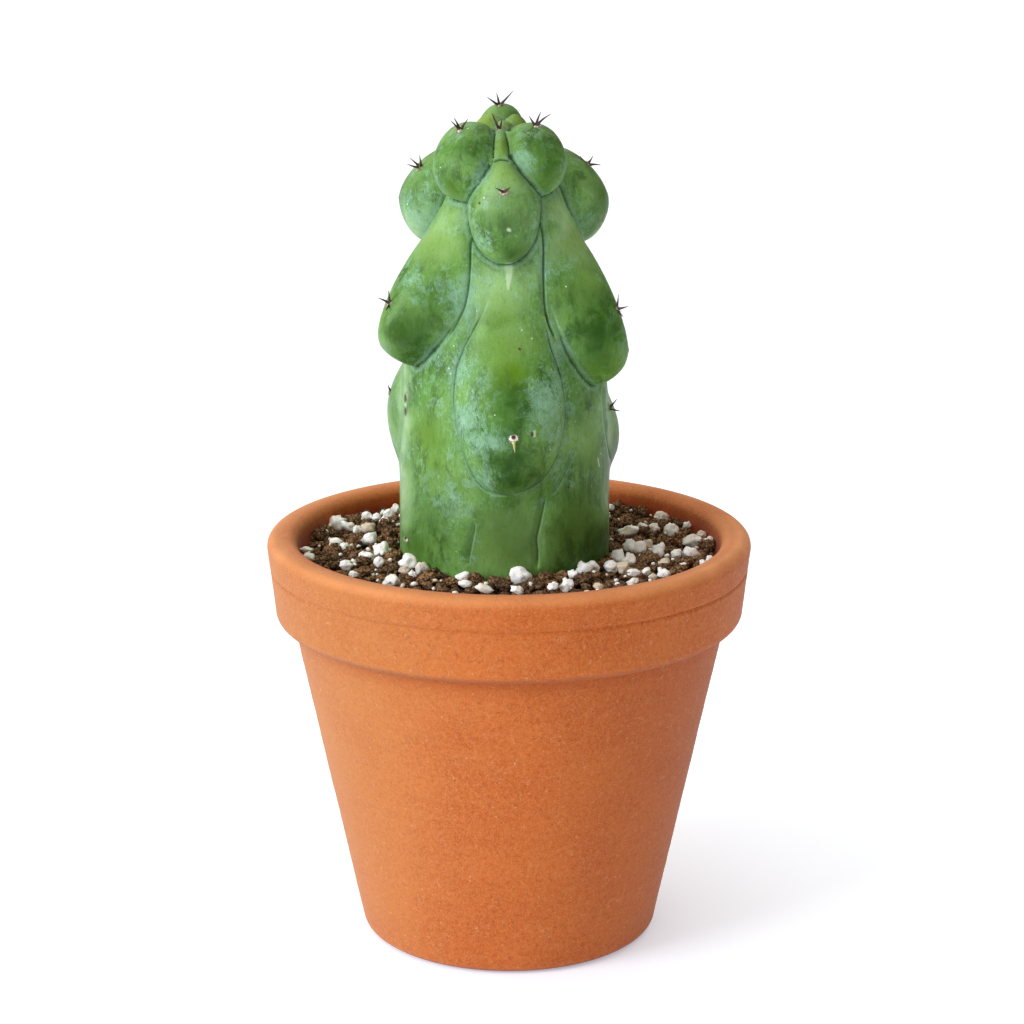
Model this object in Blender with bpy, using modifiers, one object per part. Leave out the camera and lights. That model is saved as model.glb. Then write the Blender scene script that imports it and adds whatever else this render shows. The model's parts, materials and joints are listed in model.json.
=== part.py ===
# A lobed cactus (a six-ribbed column cactus of the swollen, hanging-lobed form) in a clay pot.
# Metres, +Z up. The origin is on the pot's axis, on the surface that the pot stands on.
# The front of the plant faces -Y, and azimuths are degrees from the front, positive towards +X.
import math
import random

import bmesh
import bpy
from mathutils import Matrix, Vector

MM = 0.001
GAP = 0.3 * MM
SHARP_ANGLE = math.radians(50.0)
MERGE_DISTANCE = 0.05 * MM

# Driving dimensions of the pot.
POT_HEIGHT = 128.4 * MM
RIM_RADIUS = 75.0 * MM
RIM_WALL = 8.6 * MM
LIP_ROUND = 3.2 * MM
INNER_LIP_ROUND = 3.4 * MM
COLLAR_FOOT_RADIUS = 72.7 * MM
COLLAR_FOOT_HEIGHT = 101.8 * MM
COLLAR_ROUND = 3.4 * MM
BODY_TOP_RADIUS = 67.4 * MM
BASE_RADIUS = 46.7 * MM
FOOT_ROUND = 4.0 * MM
FOOT_RING_WIDTH = 12.0 * MM
FOOT_RECESS = 1.2 * MM
FLOOR_THICKNESS = 8.5 * MM
FLOOR_FILLET = 6.0 * MM
FILLET_INSET = 4.8 * MM
DRAIN_RADIUS = 10.0 * MM
GROOVE_HEIGHT = 118.6 * MM
GROOVE_WIDTH = 1.6 * MM
GROOVE_DEPTH = 0.5 * MM
INNER_FLOOR_RADIUS = 40.5 * MM
POT_SIDES = 64
ROUND_STEPS = 3

# Driving dimensions of the potting mix.
MIX_HEIGHT = 120.8 * MM
MIX_SIDES = 48
CRUMB_COUNT = 88
CRUMB_SIZE = (2.2 * MM, 3.6 * MM)
PERLITE_COUNT = 58
PERLITE_SIZE = (1.9 * MM, 3.2 * MM)
GRAIN_SPACING = 1.8
TRIES = 60
MIX_SEED = 7

# Driving dimensions of the stem. Its axis stands a little to the left of the pot's.
STEM_CENTRE = Vector((-1.4 * MM, 0.0, 0.0))
STEM_SIDES = 40
HOLE_RADIUS = 33.4 * MM
HOLE_TALL = 60.0 * MM
LOBE_SIDES = 18
LOBE_RINGS = 14

# Height and radius in millimetres of the plain column that the lobes grow on.
COLUMN = [
    (98.0, 0.0),
    (98.0, 28.0),
    (100.0, 30.5),
    (108.0, 32.2),
    (122.0, 32.6),
    (140.0, 32.6),
    (160.0, 32.4),
    (180.0, 31.4),
    (196.0, 29.2),
    (212.0, 25.6),
    (226.0, 21.6),
    (238.0, 17.6),
    (247.0, 13.0),
    (252.0, 8.0),
    (254.5, 0.0),
]

# Each lobe hangs like a drop: it grows out of the column at its top, swells and tucks under.
# heights, in millimetres, are of its top, its greatest width, its greatest reach and its lower
# end. half is its half width, reach how far it stands from the stem's axis, root where its own
# middle lies, and lean how far that middle moves inwards up to the top. point and slope taper
# the width and the reach upwards, full rounds the lower end, and boxy fills its level section
# out from an oval (2) towards a box. wedge widens that section at the root and narrows it
# outwards. areole is the place of its spine cushion: degrees across the lobe, and height.
def lobe(azimuth, heights, half, reach, root=20.0, lean=3.0, point=1.0, slope=1.0, full=1.0, boxy=2.0,
         wedge=0.0, areole=None):
    """The values of one lobe, by name."""
    top, wide_at, deep_at, low = heights
    return dict(azimuth=azimuth, top=top, wide_at=wide_at, deep_at=deep_at, low=low, half=half, reach=reach,
                root=root, lean=lean, point=point, slope=slope, full=full, boxy=boxy, wedge=wedge,
                areole=areole)


LOBES = {
    # The youngest lobes, round the growing tip.
    "tip_front": lobe(-3, (257.2, 246.0, 246.0, 240.0), half=4.6, reach=25.6, root=15.0, lean=6.0,
                      point=0.7, slope=0.8, areole=(0, 255.6)),
    "tip_right": lobe(60, (258.2, 253.0, 253.0, 245.0), half=4.2, reach=8.0, root=3.5, lean=0.0),
    "tip_left": lobe(-66, (258.2, 253.0, 253.0, 245.0), half=4.2, reach=10.0, root=4.5, lean=0.0),
    # The round upper lobes between them.
    "crown_left": lobe(-36, (258.2, 246.0, 244.0, 233.5), half=9.7, reach=29.2, root=19.4, full=0.9,
                       boxy=2.3, areole=(-10, 254.5)),
    "crown_right": lobe(32, (258.6, 247.0, 245.0, 235.5), half=9.0, reach=28.0, root=18.4, full=0.9,
                        boxy=2.3, areole=(8, 255.0)),
    "crown_back": lobe(186, (260.4, 250.0, 248.0, 236.0), half=7.6, reach=18.5, root=10.0, lean=2.5,
                       areole=(0, 259.6)),
    # The large lobes below them.
    "shoulder_front": lobe(0, (249.5, 233.0, 232.0, 216.0), half=11.2, reach=33.0, root=21.0, lean=5.0,
                           point=1.9, slope=1.3, full=0.95, boxy=2.2, areole=(-1, 239.0)),
    "shoulder_left": lobe(-110, (247.5, 234.0, 232.5, 219.5), half=13.0, reach=33.5, lean=6.0,
                          areole=(40, 242.0)),
    "shoulder_right": lobe(110, (247.0, 233.0, 231.5, 219.5), half=13.0, reach=33.2, lean=6.0,
                           areole=(-40, 242.0)),
    # The long hanging lobes.
    "flank_left": lobe(-62, (250.0, 208.0, 193.0, 180.0), half=18.4, reach=40.6, lean=18.0, point=2.0,
                       slope=2.4, full=0.75, boxy=2.3, wedge=0.5, areole=(-30, 202.0)),
    "flank_right": lobe(62, (250.0, 208.0, 189.0, 174.5), half=17.8, reach=40.4, lean=18.0, point=2.0,
                        slope=2.4, full=0.8, boxy=2.3, wedge=0.5, areole=(30, 200.0)),
    "flank_back": lobe(180, (250.0, 208.0, 194.0, 179.0), half=18.2, reach=40.0, lean=18.0, point=2.0,
                       slope=2.4, full=0.75, boxy=2.3, wedge=0.5, areole=(0, 204.0)),
    # The flat lower lobes, which have nearly grown back into the column.
    "belly_front": lobe(3, (226.0, 174.0, 164.0, 140.0), half=18.4, reach=37.6, lean=8.0, point=1.4,
                        slope=1.2, full=0.85, boxy=2.2, areole=(4, 166.5)),
    "belly_left": lobe(-110, (192.0, 170.0, 168.0, 146.0), half=16.0, reach=38.4, lean=4.0, slope=1.2,
                       areole=(30, 167.5)),
    "belly_right": lobe(110, (185.0, 164.0, 157.0, 140.0), half=16.0, reach=37.8, lean=4.0, slope=1.2,
                        areole=(-30, 166.0)),
    # The oldest lobes, at the foot.
    "foot_left": lobe(-64, (164.0, 136.0, 134.0, 112.0), half=15.0, reach=34.2, areole=(-16, 127.0)),
    "foot_right": lobe(64, (160.0, 138.0, 136.0, 112.0), half=15.0, reach=33.8),
    "foot_back": lobe(180, (164.0, 136.0, 134.0, 112.0), half=15.0, reach=34.4, areole=(0, 132.0)),
    "foot_front": lobe(1, (152.0, 130.0, 130.0, 106.0), half=11.5, reach=33.6, root=22.0, lean=1.0),
}

# Spines, in millimetres and degrees: length, tilt away from the lobe's surface normal, turn round it.
SPINES = [(4.4, 38.0, -62.0), (4.8, 30.0, 12.0), (4.2, 40.0, 74.0)]
SPINE_RADIUS = 0.42 * MM
SPINE_TIP_RADIUS = 0.10 * MM
SPINE_ROOT = 1.2 * MM
PAD_RADIUS = 1.35 * MM


def material(name, colour, roughness):
    """Return a plain Principled material."""
    made = bpy.data.materials.new(name)
    made.use_nodes = True
    shader = made.node_tree.nodes["Principled BSDF"]
    shader.inputs["Base Color"].default_value = (*colour, 1.0)
    shader.inputs["Roughness"].default_value = roughness
    shader.inputs["Metallic"].default_value = 0.0
    return made


def add_object(name, bm, collection, paint=None):
    """Make an object of a bmesh, shaded smooth, in the given collection."""
    mesh = bpy.data.meshes.new(name)
    bm.to_mesh(mesh)
    bm.free()
    mesh.shade_smooth()
    mesh.set_sharp_from_angle(angle=SHARP_ANGLE)
    if paint is not None:
        mesh.materials.append(paint)
    made = bpy.data.objects.new(name, mesh)
    collection.objects.link(made)
    return made


def turned(name, outline, sides, collection, closed, paint=None):
    """Turn an outline of (radius, height) points round +Z with a Screw modifier."""
    bm = bmesh.new()
    points = [bm.verts.new((radius, 0.0, height)) for radius, height in outline]
    for first, second in zip(points, points[1:]):
        bm.edges.new((first, second))
    if closed:
        bm.edges.new((points[-1], points[0]))
    made = add_object(name, bm, collection, paint)
    screw = made.modifiers.new("turn", "SCREW")
    screw.axis = "Z"
    screw.steps = sides
    screw.render_steps = sides
    screw.use_merge_vertices = True
    screw.merge_threshold = MERGE_DISTANCE
    screw.use_smooth_shade = True
    return made


def arc(centre, radius, start, end, steps=ROUND_STEPS):
    """Points of a round corner in the (radius, height) plane, angles in degrees."""
    angles = [math.radians(start + (end - start) * n / steps) for n in range(steps + 1)]
    return [(centre[0] + radius * math.cos(a), centre[1] + radius * math.sin(a)) for a in angles]


def bake(made):
    """Replace an object's mesh by its evaluated mesh and drop its modifiers."""
    bpy.context.view_layer.update()
    mesh = bpy.data.meshes.new_from_object(made.evaluated_get(bpy.context.evaluated_depsgraph_get()))
    mesh.set_sharp_from_angle(angle=SHARP_ANGLE)
    made.modifiers.clear()
    made.data = mesh


def join_all(body, pieces):
    """Join a collection of closed pieces to a body with one union, then remove the pieces."""
    union = body.modifiers.new("join", "BOOLEAN")
    union.operation = "UNION"
    union.solver = "EXACT"
    union.operand_type = "COLLECTION"
    union.collection = pieces
    bake(body)
    for piece in list(pieces.objects):
        bpy.data.objects.remove(piece)
    bpy.data.collections.remove(pieces)


# The pot

def inner_radius(height):
    """Radius of the pot's inside wall, a straight taper from the floor to the rim."""
    share = (height - FLOOR_THICKNESS) / (POT_HEIGHT - FLOOR_THICKNESS)
    return INNER_FLOOR_RADIUS + share * (RIM_RADIUS - RIM_WALL - INNER_FLOOR_RADIUS)


def collar_radius(height):
    """Outer radius of the collar, a slight taper from its foot to the rim."""
    share = (height - COLLAR_FOOT_HEIGHT) / (POT_HEIGHT - COLLAR_FOOT_HEIGHT)
    return COLLAR_FOOT_RADIUS + share * (RIM_RADIUS - COLLAR_FOOT_RADIUS)


def pot_outline():
    """The pot's section: down the outside, under the foot, up the drain hole and the inside."""
    lip_middle = POT_HEIGHT - LIP_ROUND
    outline = arc((RIM_RADIUS - LIP_ROUND, lip_middle), LIP_ROUND, 90, 0)
    for offset, depth in ((0.5, 0.0), (0.0, GROOVE_DEPTH), (-0.5, 0.0)):
        height = GROOVE_HEIGHT + offset * GROOVE_WIDTH
        outline.append((collar_radius(height) - depth, height))
    corner = (COLLAR_FOOT_RADIUS - COLLAR_ROUND, COLLAR_FOOT_HEIGHT + COLLAR_ROUND)
    outline += arc(corner, COLLAR_ROUND, 0, -90)
    outline.append((BODY_TOP_RADIUS, COLLAR_FOOT_HEIGHT))
    outline += arc((BASE_RADIUS - FOOT_ROUND, FOOT_ROUND), FOOT_ROUND, -15, -90)
    outline.append((BASE_RADIUS - FOOT_RING_WIDTH, 0.0))
    outline.append((BASE_RADIUS - FOOT_RING_WIDTH - FOOT_RECESS, FOOT_RECESS))
    outline.append((DRAIN_RADIUS, FOOT_RECESS))
    outline.append((DRAIN_RADIUS, FLOOR_THICKNESS))
    fillet = (INNER_FLOOR_RADIUS - FILLET_INSET, FLOOR_THICKNESS + FLOOR_FILLET)
    outline += arc(fillet, FLOOR_FILLET, -90, -12)
    lip_start = POT_HEIGHT - INNER_LIP_ROUND
    outline += arc((inner_radius(lip_start) + INNER_LIP_ROUND, lip_start), INNER_LIP_ROUND, 180, 90)
    return outline


def make_pot(collection):
    clay = material("clay", (0.52, 0.20, 0.075), 0.85)
    pot = turned("pot", pot_outline(), POT_SIDES, collection, True, clay)
    bake(pot)
    return pot


# The stem

def egg(height, shape, middle, taper):
    """Share of a lobe's full width or reach at a height: an oval, tapered above its middle."""
    if height > shape[middle]:
        share = (height - shape[middle]) / (shape["top"] - shape[middle])
        return max(1.0 - share * share, 0.0) ** (shape[taper] / 2)
    share = (shape[middle] - height) / (shape[middle] - shape["low"])
    return max(1.0 - share * share, 0.0) ** (shape["full"] / 2)


def lobe_point(shape, across, outward, height):
    """Place a point on a lobe: its direction in the level plane, as a unit vector, and its height."""
    power = shape["boxy"]
    fill = (abs(across) ** power + abs(outward) ** power) ** (-1.0 / power)
    across, outward = across * fill, outward * fill
    rise = max(height - shape["deep_at"], 0.0) / (shape["top"] - shape["deep_at"])
    middle = shape["root"] - shape["lean"] * rise ** 1.2
    aside = across * shape["half"] * egg(height, shape, "wide_at", "point")
    aside *= 1.0 - shape["wedge"] * outward
    out = middle + outward * (shape["reach"] - shape["root"]) * egg(height, shape, "deep_at", "slope")
    turn = math.radians(shape["azimuth"])
    sideways = Vector((math.cos(turn), math.sin(turn), 0.0))
    outwards = Vector((math.sin(turn), -math.cos(turn), 0.0))
    return STEM_CENTRE + (sideways * aside + outwards * out + Vector((0.0, 0.0, height))) * MM


def skin_point(shape, across_degrees, height):
    """A point of a lobe's outer skin."""
    turn = math.radians(across_degrees)
    return lobe_point(shape, math.sin(turn), math.cos(turn), height)


def add_lobe(name, shape, collection, paint):
    bm = bmesh.new()
    bmesh.ops.create_uvsphere(bm, u_segments=LOBE_SIDES, v_segments=LOBE_RINGS, radius=1.0)
    for vertex in bm.verts:
        across, outward, up = vertex.co
        turn = math.atan2(across, outward)
        height = shape["low"] + (shape["top"] - shape["low"]) * (1.0 + up) / 2
        vertex.co = lobe_point(shape, math.sin(turn), math.cos(turn), height)
    bmesh.ops.recalc_face_normals(bm, faces=bm.faces)
    return add_object(name, bm, collection, paint)


def areole_frame(shape):
    """Place and axes of a lobe's areole: local Z leaves the skin, local Y points up it."""
    across, height = shape["areole"]
    place = skin_point(shape, across, height)
    aside = skin_point(shape, across + 3.0, height) - place
    above = skin_point(shape, across, height + 0.3) - place
    normal = aside.cross(above).normalized()
    side = above.cross(normal).normalized()
    axes = Matrix((side, normal.cross(side), normal)).transposed()
    return Matrix.Translation(place) @ axes.to_4x4()


def add_areole(name, shape, collection, felt, thorn):
    """A small felt cushion with its spines, sunk into the lobe."""
    frame = areole_frame(shape)
    bm = bmesh.new()
    bmesh.ops.create_icosphere(bm, subdivisions=1, radius=PAD_RADIUS)
    bmesh.ops.transform(bm, verts=bm.verts, matrix=frame @ Matrix.Diagonal((1.0, 1.2, 0.6, 1.0)))
    add_object(name + "_pad", bm, collection, felt)
    for number, (length, tilt, turn) in enumerate(SPINES):
        bm = bmesh.new()
        bmesh.ops.create_cone(
            bm, cap_ends=True, segments=4, radius1=SPINE_RADIUS, radius2=SPINE_TIP_RADIUS,
            depth=length * MM + SPINE_ROOT,
            matrix=Matrix.Translation((0.0, 0.0, (length * MM - SPINE_ROOT) / 2)))
        lean = Matrix.Rotation(math.radians(turn), 4, "Z") @ Matrix.Rotation(math.radians(-tilt), 4, "X")
        bmesh.ops.transform(bm, verts=bm.verts, matrix=frame @ lean)
        add_object(f"{name}_spine_{number}", bm, collection, thorn)


def make_stem(collection):
    skin = material("skin", (0.09, 0.20, 0.06), 0.45)
    felt = material("areole_felt", (0.62, 0.52, 0.38), 0.95)
    thorn = material("spine", (0.05, 0.03, 0.02), 0.6)
    outline = [(radius * MM, height * MM) for height, radius in reversed(COLUMN)]
    stem = turned("cactus_stem", outline, STEM_SIDES, collection, False, skin)
    bake(stem)
    stem.data.transform(Matrix.Translation(STEM_CENTRE))
    growths = bpy.data.collections.new("growths")
    bpy.context.scene.collection.children.link(growths)
    for name, shape in LOBES.items():
        add_lobe(name, shape, growths, skin)
        if shape["areole"] is not None:
            add_areole(name, shape, growths, felt, thorn)
    join_all(stem, growths)
    return stem


# The potting mix

def mix_outline():
    """The mix's section, before its hole is made: the level top, the wall and the floor."""
    low = FLOOR_THICKNESS + GAP
    return [
        (0.0, MIX_HEIGHT),
        (inner_radius(MIX_HEIGHT) - 2 * GAP, MIX_HEIGHT),
        (inner_radius(low + FLOOR_FILLET) - 2 * GAP, low + FLOOR_FILLET),
        (INNER_FLOOR_RADIUS - FILLET_INSET, low),
        (0.0, low),
    ]


def grain_places(dice, count, sizes, taken):
    """Scatter grains over the ring of mix, clear of the stem, the pot's wall and each other."""
    places = []
    inner = HOLE_RADIUS
    outer = inner_radius(MIX_HEIGHT) - 2 * GAP
    for attempt in range(count * TRIES):
        if len(places) == count:
            break
        size = dice.uniform(*sizes)
        radius = math.sqrt(dice.uniform((inner + size) ** 2, (outer - size) ** 2))
        turn = dice.uniform(0.0, 2 * math.pi)
        x, y = radius * math.cos(turn), radius * math.sin(turn)
        if math.hypot(x - STEM_CENTRE.x, y) < inner + size:
            continue
        if all(math.hypot(x - a, y - b) > (size + s) * GRAIN_SPACING / 2 for a, b, s in taken):
            places.append((x, y, size))
            taken.append((x, y, size))
    return places


def add_grain(name, place, dice, squash, collection, paint):
    """One irregular grain, half sunk into the mix."""
    x, y, size = place
    bm = bmesh.new()
    bmesh.ops.create_icosphere(bm, subdivisions=1, radius=1.0)
    for vertex in bm.verts:
        vertex.co *= size * dice.uniform(0.82, 1.0)
        vertex.co.z *= squash
    turn = Matrix.Rotation(dice.uniform(0.0, 2 * math.pi), 4, "Z")
    rise = MIX_HEIGHT + size * dice.uniform(0.05, 0.35)
    bmesh.ops.transform(bm, verts=bm.verts, matrix=Matrix.Translation((x, y, rise)) @ turn)
    return add_object(name, bm, collection, paint)


def cut_hole(mix):
    """Cut the plain round hole that the stem stands in."""
    floor = COLUMN[0][0] * MM - GAP
    bm = bmesh.new()
    bmesh.ops.create_cone(
        bm, cap_ends=True, segments=MIX_SIDES, radius1=HOLE_RADIUS, radius2=HOLE_RADIUS, depth=HOLE_TALL)
    bmesh.ops.translate(bm, verts=bm.verts, vec=STEM_CENTRE + Vector((0.0, 0.0, floor + HOLE_TALL / 2)))
    cutters = bpy.data.collections.new("cutters")
    bpy.context.scene.collection.children.link(cutters)
    cutter = add_object("hole_cutter", bm, cutters)
    cutter.hide_render = True
    cutter.display_type = "WIRE"
    cut = mix.modifiers.new("hole", "BOOLEAN")
    cut.operation = "DIFFERENCE"
    cut.solver = "EXACT"
    cut.object = cutter


def make_mix(collection):
    peat = material("peat", (0.09, 0.045, 0.022), 0.95)
    perlite = material("perlite", (0.80, 0.76, 0.68), 0.9)
    mix = turned("potting_mix", mix_outline(), MIX_SIDES, collection, False, peat)
    bake(mix)
    dice = random.Random(MIX_SEED)
    taken = []
    grains = bpy.data.collections.new("grains")
    bpy.context.scene.collection.children.link(grains)
    for number, place in enumerate(grain_places(dice, PERLITE_COUNT, PERLITE_SIZE, taken)):
        add_grain(f"perlite_{number}", place, dice, 0.9, grains, perlite)
    for number, place in enumerate(grain_places(dice, CRUMB_COUNT, CRUMB_SIZE, taken)):
        add_grain(f"crumb_{number}", place, dice, 0.75, grains, peat)
    join_all(mix, grains)
    cut_hole(mix)
    return mix


def main():
    for old in list(bpy.data.objects):
        bpy.data.objects.remove(old)
    collection = bpy.data.collections.new("potted_cactus")
    bpy.context.scene.collection.children.link(collection)
    make_pot(collection)
    make_mix(collection)
    make_stem(collection)


main()
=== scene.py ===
# Looks of the potted cactus: the stem's skin and folds, felt and spines, the gritty mix and the clay pot.
# Metres, +Z up, the same frame as the solids. The plant's front faces -Y.
import json
import math
import random

import bmesh
import bpy
import numpy as np
from mathutils import Matrix, Vector, kdtree, noise
from mathutils.bvhtree import BVHTree

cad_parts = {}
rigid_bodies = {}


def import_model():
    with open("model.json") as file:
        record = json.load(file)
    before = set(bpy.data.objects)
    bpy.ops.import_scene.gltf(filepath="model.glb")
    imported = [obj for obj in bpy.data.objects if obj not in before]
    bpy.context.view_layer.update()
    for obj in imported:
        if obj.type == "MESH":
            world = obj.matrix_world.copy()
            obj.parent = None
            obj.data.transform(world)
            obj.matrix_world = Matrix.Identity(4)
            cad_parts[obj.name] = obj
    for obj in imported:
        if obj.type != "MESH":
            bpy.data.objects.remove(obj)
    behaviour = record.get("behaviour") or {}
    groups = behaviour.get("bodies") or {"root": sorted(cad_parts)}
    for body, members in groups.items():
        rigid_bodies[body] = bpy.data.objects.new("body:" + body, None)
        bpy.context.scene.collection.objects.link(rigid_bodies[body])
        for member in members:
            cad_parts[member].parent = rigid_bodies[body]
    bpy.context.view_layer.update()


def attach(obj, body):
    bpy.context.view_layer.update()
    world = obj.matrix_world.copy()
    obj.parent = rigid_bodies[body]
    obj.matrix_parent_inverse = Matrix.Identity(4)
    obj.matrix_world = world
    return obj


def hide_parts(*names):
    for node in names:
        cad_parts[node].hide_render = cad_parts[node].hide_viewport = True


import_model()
mm = 0.001
up = Vector((0.0, 0.0, 1.0))


def clearSelection():
    if bpy.context.object is not None and bpy.context.object.mode != "OBJECT":
        bpy.ops.object.mode_set(mode="OBJECT")
    bpy.ops.object.select_all(action="DESELECT")


def pickUp(piece):
    clearSelection()
    piece.select_set(True)
    bpy.context.view_layer.objects.active = piece


def addMesh(name, primitive, **settings):
    # a primitive, with its place moved into its mesh
    clearSelection()
    primitive(**settings)
    piece = bpy.context.object
    piece.name = name
    piece.data.name = name
    bpy.ops.object.transform_apply(location=True, rotation=True, scale=True)
    return piece


def modify(piece, kind, **settings):
    # one modifier, applied at once
    pickUp(piece)
    made = piece.modifiers.new(kind.lower(), kind)
    for key, value in settings.items():
        setattr(made, key, value)
    bpy.ops.object.modifier_apply(modifier=made.name)


def paintOn(mesh, marks):
    # values on the mesh's points, which the finishes read
    for name, values in marks.items():
        layer = mesh.attributes.new(name, "FLOAT", "POINT")
        layer.data.foreach_set("value", np.asarray(values, dtype=np.float32))


def joinMeshes(name, meshes):
    # one smooth piece made of many meshes
    gathered = bmesh.new()
    for mesh in meshes:
        gathered.from_mesh(mesh)
        bpy.data.meshes.remove(mesh)
    joined = bpy.data.meshes.new(name)
    gathered.to_mesh(joined)
    gathered.free()
    for face in joined.polygons:
        face.use_smooth = True
    piece = bpy.data.objects.new(name, joined)
    bpy.context.scene.collection.objects.link(piece)
    return piece


def polar(radius, turn, height=0.0):
    # a place round the Z axis
    return Vector((radius * math.cos(turn), radius * math.sin(turn), height))


def clamped(value):
    return min(1.0, max(0.0, value))


# Camera

camera = {
    "lens": 101.953,
    "sensor": 36.0,
    "place": (0.0009, -0.8679, 0.3693),
    "lookDown": 0.26416,  # radians below level
    "picture": 1024,
}
pixelStep = camera["sensor"] / camera["lens"] / camera["picture"]  # a pixel's width at one metre
cameraTilt = math.pi / 2 - camera["lookDown"]
eye = Vector(camera["place"])


def addCamera():
    bpy.ops.object.camera_add(location=camera["place"], rotation=(cameraTilt, 0.0, 0.0))
    made = bpy.context.object
    made.name = "photoCamera"
    made.data.lens = camera["lens"]
    made.data.sensor_width = camera["sensor"]
    made.data.clip_end = 50.0
    bpy.context.scene.camera = made
    clearSelection()


def throughPixel(pixel):
    # the camera's place and the direction through a pixel of the photograph
    half = camera["picture"] / 2
    local = Vector(((pixel[0] - half) * pixelStep, (half - pixel[1]) * pixelStep, -1.0))
    return eye, (Matrix.Rotation(cameraTilt, 3, "X") @ local).normalized()


# Node helpers for the finishes

class Finish:
    # a material that is put together node by node

    def __init__(self, name):
        self.paint = bpy.data.materials.new(name)
        self.paint.use_nodes = True
        self.tree = self.paint.node_tree
        self.shader = self.tree.nodes["Principled BSDF"]
        self.place = self.node("TexCoord").outputs["Object"]

    def node(self, kind, **settings):
        made = self.tree.nodes.new("ShaderNode" + kind)
        for key, value in settings.items():
            setattr(made, key, value)
        return made

    def feed(self, socket, value):
        # a socket takes a link, a colour or a number
        if isinstance(value, bpy.types.NodeSocket):
            self.tree.links.new(value, socket)
        elif isinstance(value, tuple) and len(value) == 3 and socket.type == "RGBA":
            socket.default_value = (*value, 1.0)
        else:
            socket.default_value = value

    def along(self, axis):
        split = self.node("SeparateXYZ")
        self.feed(split.inputs[0], self.place)
        return split.outputs[axis]

    def stretched(self, scale):
        mapping = self.node("Mapping")
        self.feed(mapping.inputs["Vector"], self.place)
        mapping.inputs["Scale"].default_value = scale
        return mapping.outputs["Vector"]

    def grain(self, size, detail=4.0, rough=0.55, twist=0.0, stretch=(1.0, 1.0, 1.0)):
        # noise with features of about this size in metres
        made = self.node("TexNoise")
        self.feed(made.inputs["Vector"], self.stretched(stretch))
        made.inputs["Scale"].default_value = 1.0 / size
        made.inputs["Detail"].default_value = detail
        made.inputs["Roughness"].default_value = rough
        made.inputs["Distortion"].default_value = twist
        return made.outputs["Fac"]

    def dots(self, size):
        # distance to scattered points about this far apart, and a colour by chance for each
        made = self.node("TexVoronoi")
        self.feed(made.inputs["Vector"], self.place)
        made.inputs["Scale"].default_value = 1.0 / size
        return made.outputs["Distance"], made.outputs["Color"]

    def flakes(self, size, ragged):
        # torn-edged cells about this wide: a random value for each, and the distance to its edge
        wander = self.node("TexNoise")
        self.feed(wander.inputs["Vector"], self.place)
        wander.inputs["Scale"].default_value = 1.6 / size
        wander.inputs["Detail"].default_value = 5.0
        shift = self.node("VectorMath", operation="MULTIPLY_ADD")
        self.feed(shift.inputs[0], wander.outputs["Color"])
        shift.inputs[1].default_value = [ragged * size] * 3
        self.feed(shift.inputs[2], self.place)
        found = []
        for feature in ("F1", "DISTANCE_TO_EDGE"):
            cells = self.node("TexVoronoi", feature=feature)
            self.feed(cells.inputs["Vector"], shift.outputs[0])
            cells.inputs["Scale"].default_value = 1.0 / size
            found.append(cells.outputs["Color" if feature == "F1" else "Distance"])
        return found

    def between(self, value, low, high, least=0.0, most=1.0):
        # a smooth step from low to high
        made = self.node("MapRange", interpolation_type="SMOOTHSTEP")
        self.feed(made.inputs["Value"], value)
        for socket, number in (("From Min", low), ("From Max", high), ("To Min", least), ("To Max", most)):
            self.feed(made.inputs[socket], number)
        return made.outputs["Result"]

    def sum(self, first, second, operation="ADD"):
        made = self.node("Math", operation=operation)
        self.feed(made.inputs[0], first)
        self.feed(made.inputs[1], second)
        return made.outputs[0]

    def times(self, first, second):
        return self.sum(first, second, "MULTIPLY")

    def threads(self, value, wide, thin):
        # thin lines where a noise crosses its middle
        middle = self.sum(value, 0.5, "SUBTRACT")
        return self.between(self.sum(middle, 0.0, "ABSOLUTE"), wide, thin)

    def lay(self, colour, tone, *shares):
        # a tone laid over a colour by the product of its shares
        share = shares[0]
        for other in shares[1:]:
            share = self.times(share, other)
        made = self.node("Mix", data_type="RGBA")
        for number, value in ((0, share), (6, colour), (7, tone)):
            self.feed(made.inputs[number], value)
        return made.outputs[2]

    def coats(self, colour, layers):
        # colours laid on where a value runs from its start to its full, each up to its share
        for value, start, full, share, tone in layers:
            colour = self.lay(colour, tone, self.between(value, start, full, 0.0, share))
        return colour

    def mark(self, name):
        # a value painted on the piece's points
        return self.node("Attribute", attribute_name=name).outputs["Fac"]

    def relief(self, height, depth, strength=1.0, under=None):
        made = self.node("Bump")
        made.inputs["Strength"].default_value = strength
        made.inputs["Distance"].default_value = depth
        self.feed(made.inputs["Height"], height)
        if under is not None:
            self.feed(made.inputs["Normal"], under)
        return made.outputs["Normal"]

    def done(self, colour, roughness, normal=None, **constants):
        self.feed(self.shader.inputs["Base Color"], colour)
        self.feed(self.shader.inputs["Roughness"], roughness)
        if normal is not None:
            self.feed(self.shader.inputs["Normal"], normal)
        for name, value in constants.items():
            self.feed(self.shader.inputs[name.replace("_", " ")], value)
        return self.paint


# Light and floor

studio = {
    "worldLit": 1.15,  # light of the room from above, and from the far lower side
    "worldShade": 0.07,
    "worldFade": (-0.3, 1.0),  # where the shade ends and where the light is full, along litSide
    "worldTint": (1.04, 1.0, 0.91),
    "litSide": (-0.45, 0.1, 0.89),
    "keyPlace": (-1.35, -0.85, 0.75),
    "keyAim": (0.0, 0.0, 0.14),
    "keySize": 0.8,
    "keyPower": 19.5,
    "keyTint": (0.92, 1.0, 1.14),
    "floorSize": 60.0,
    "floorDrop": 0.2 * mm,
    "floorColour": (0.87, 0.90, 0.95),
    "floorGlow": 0.34,
    "floorGlowTint": (0.90, 1.01, 1.16),  # keeps the shadow a neutral grey beside the red pot
}


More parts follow.
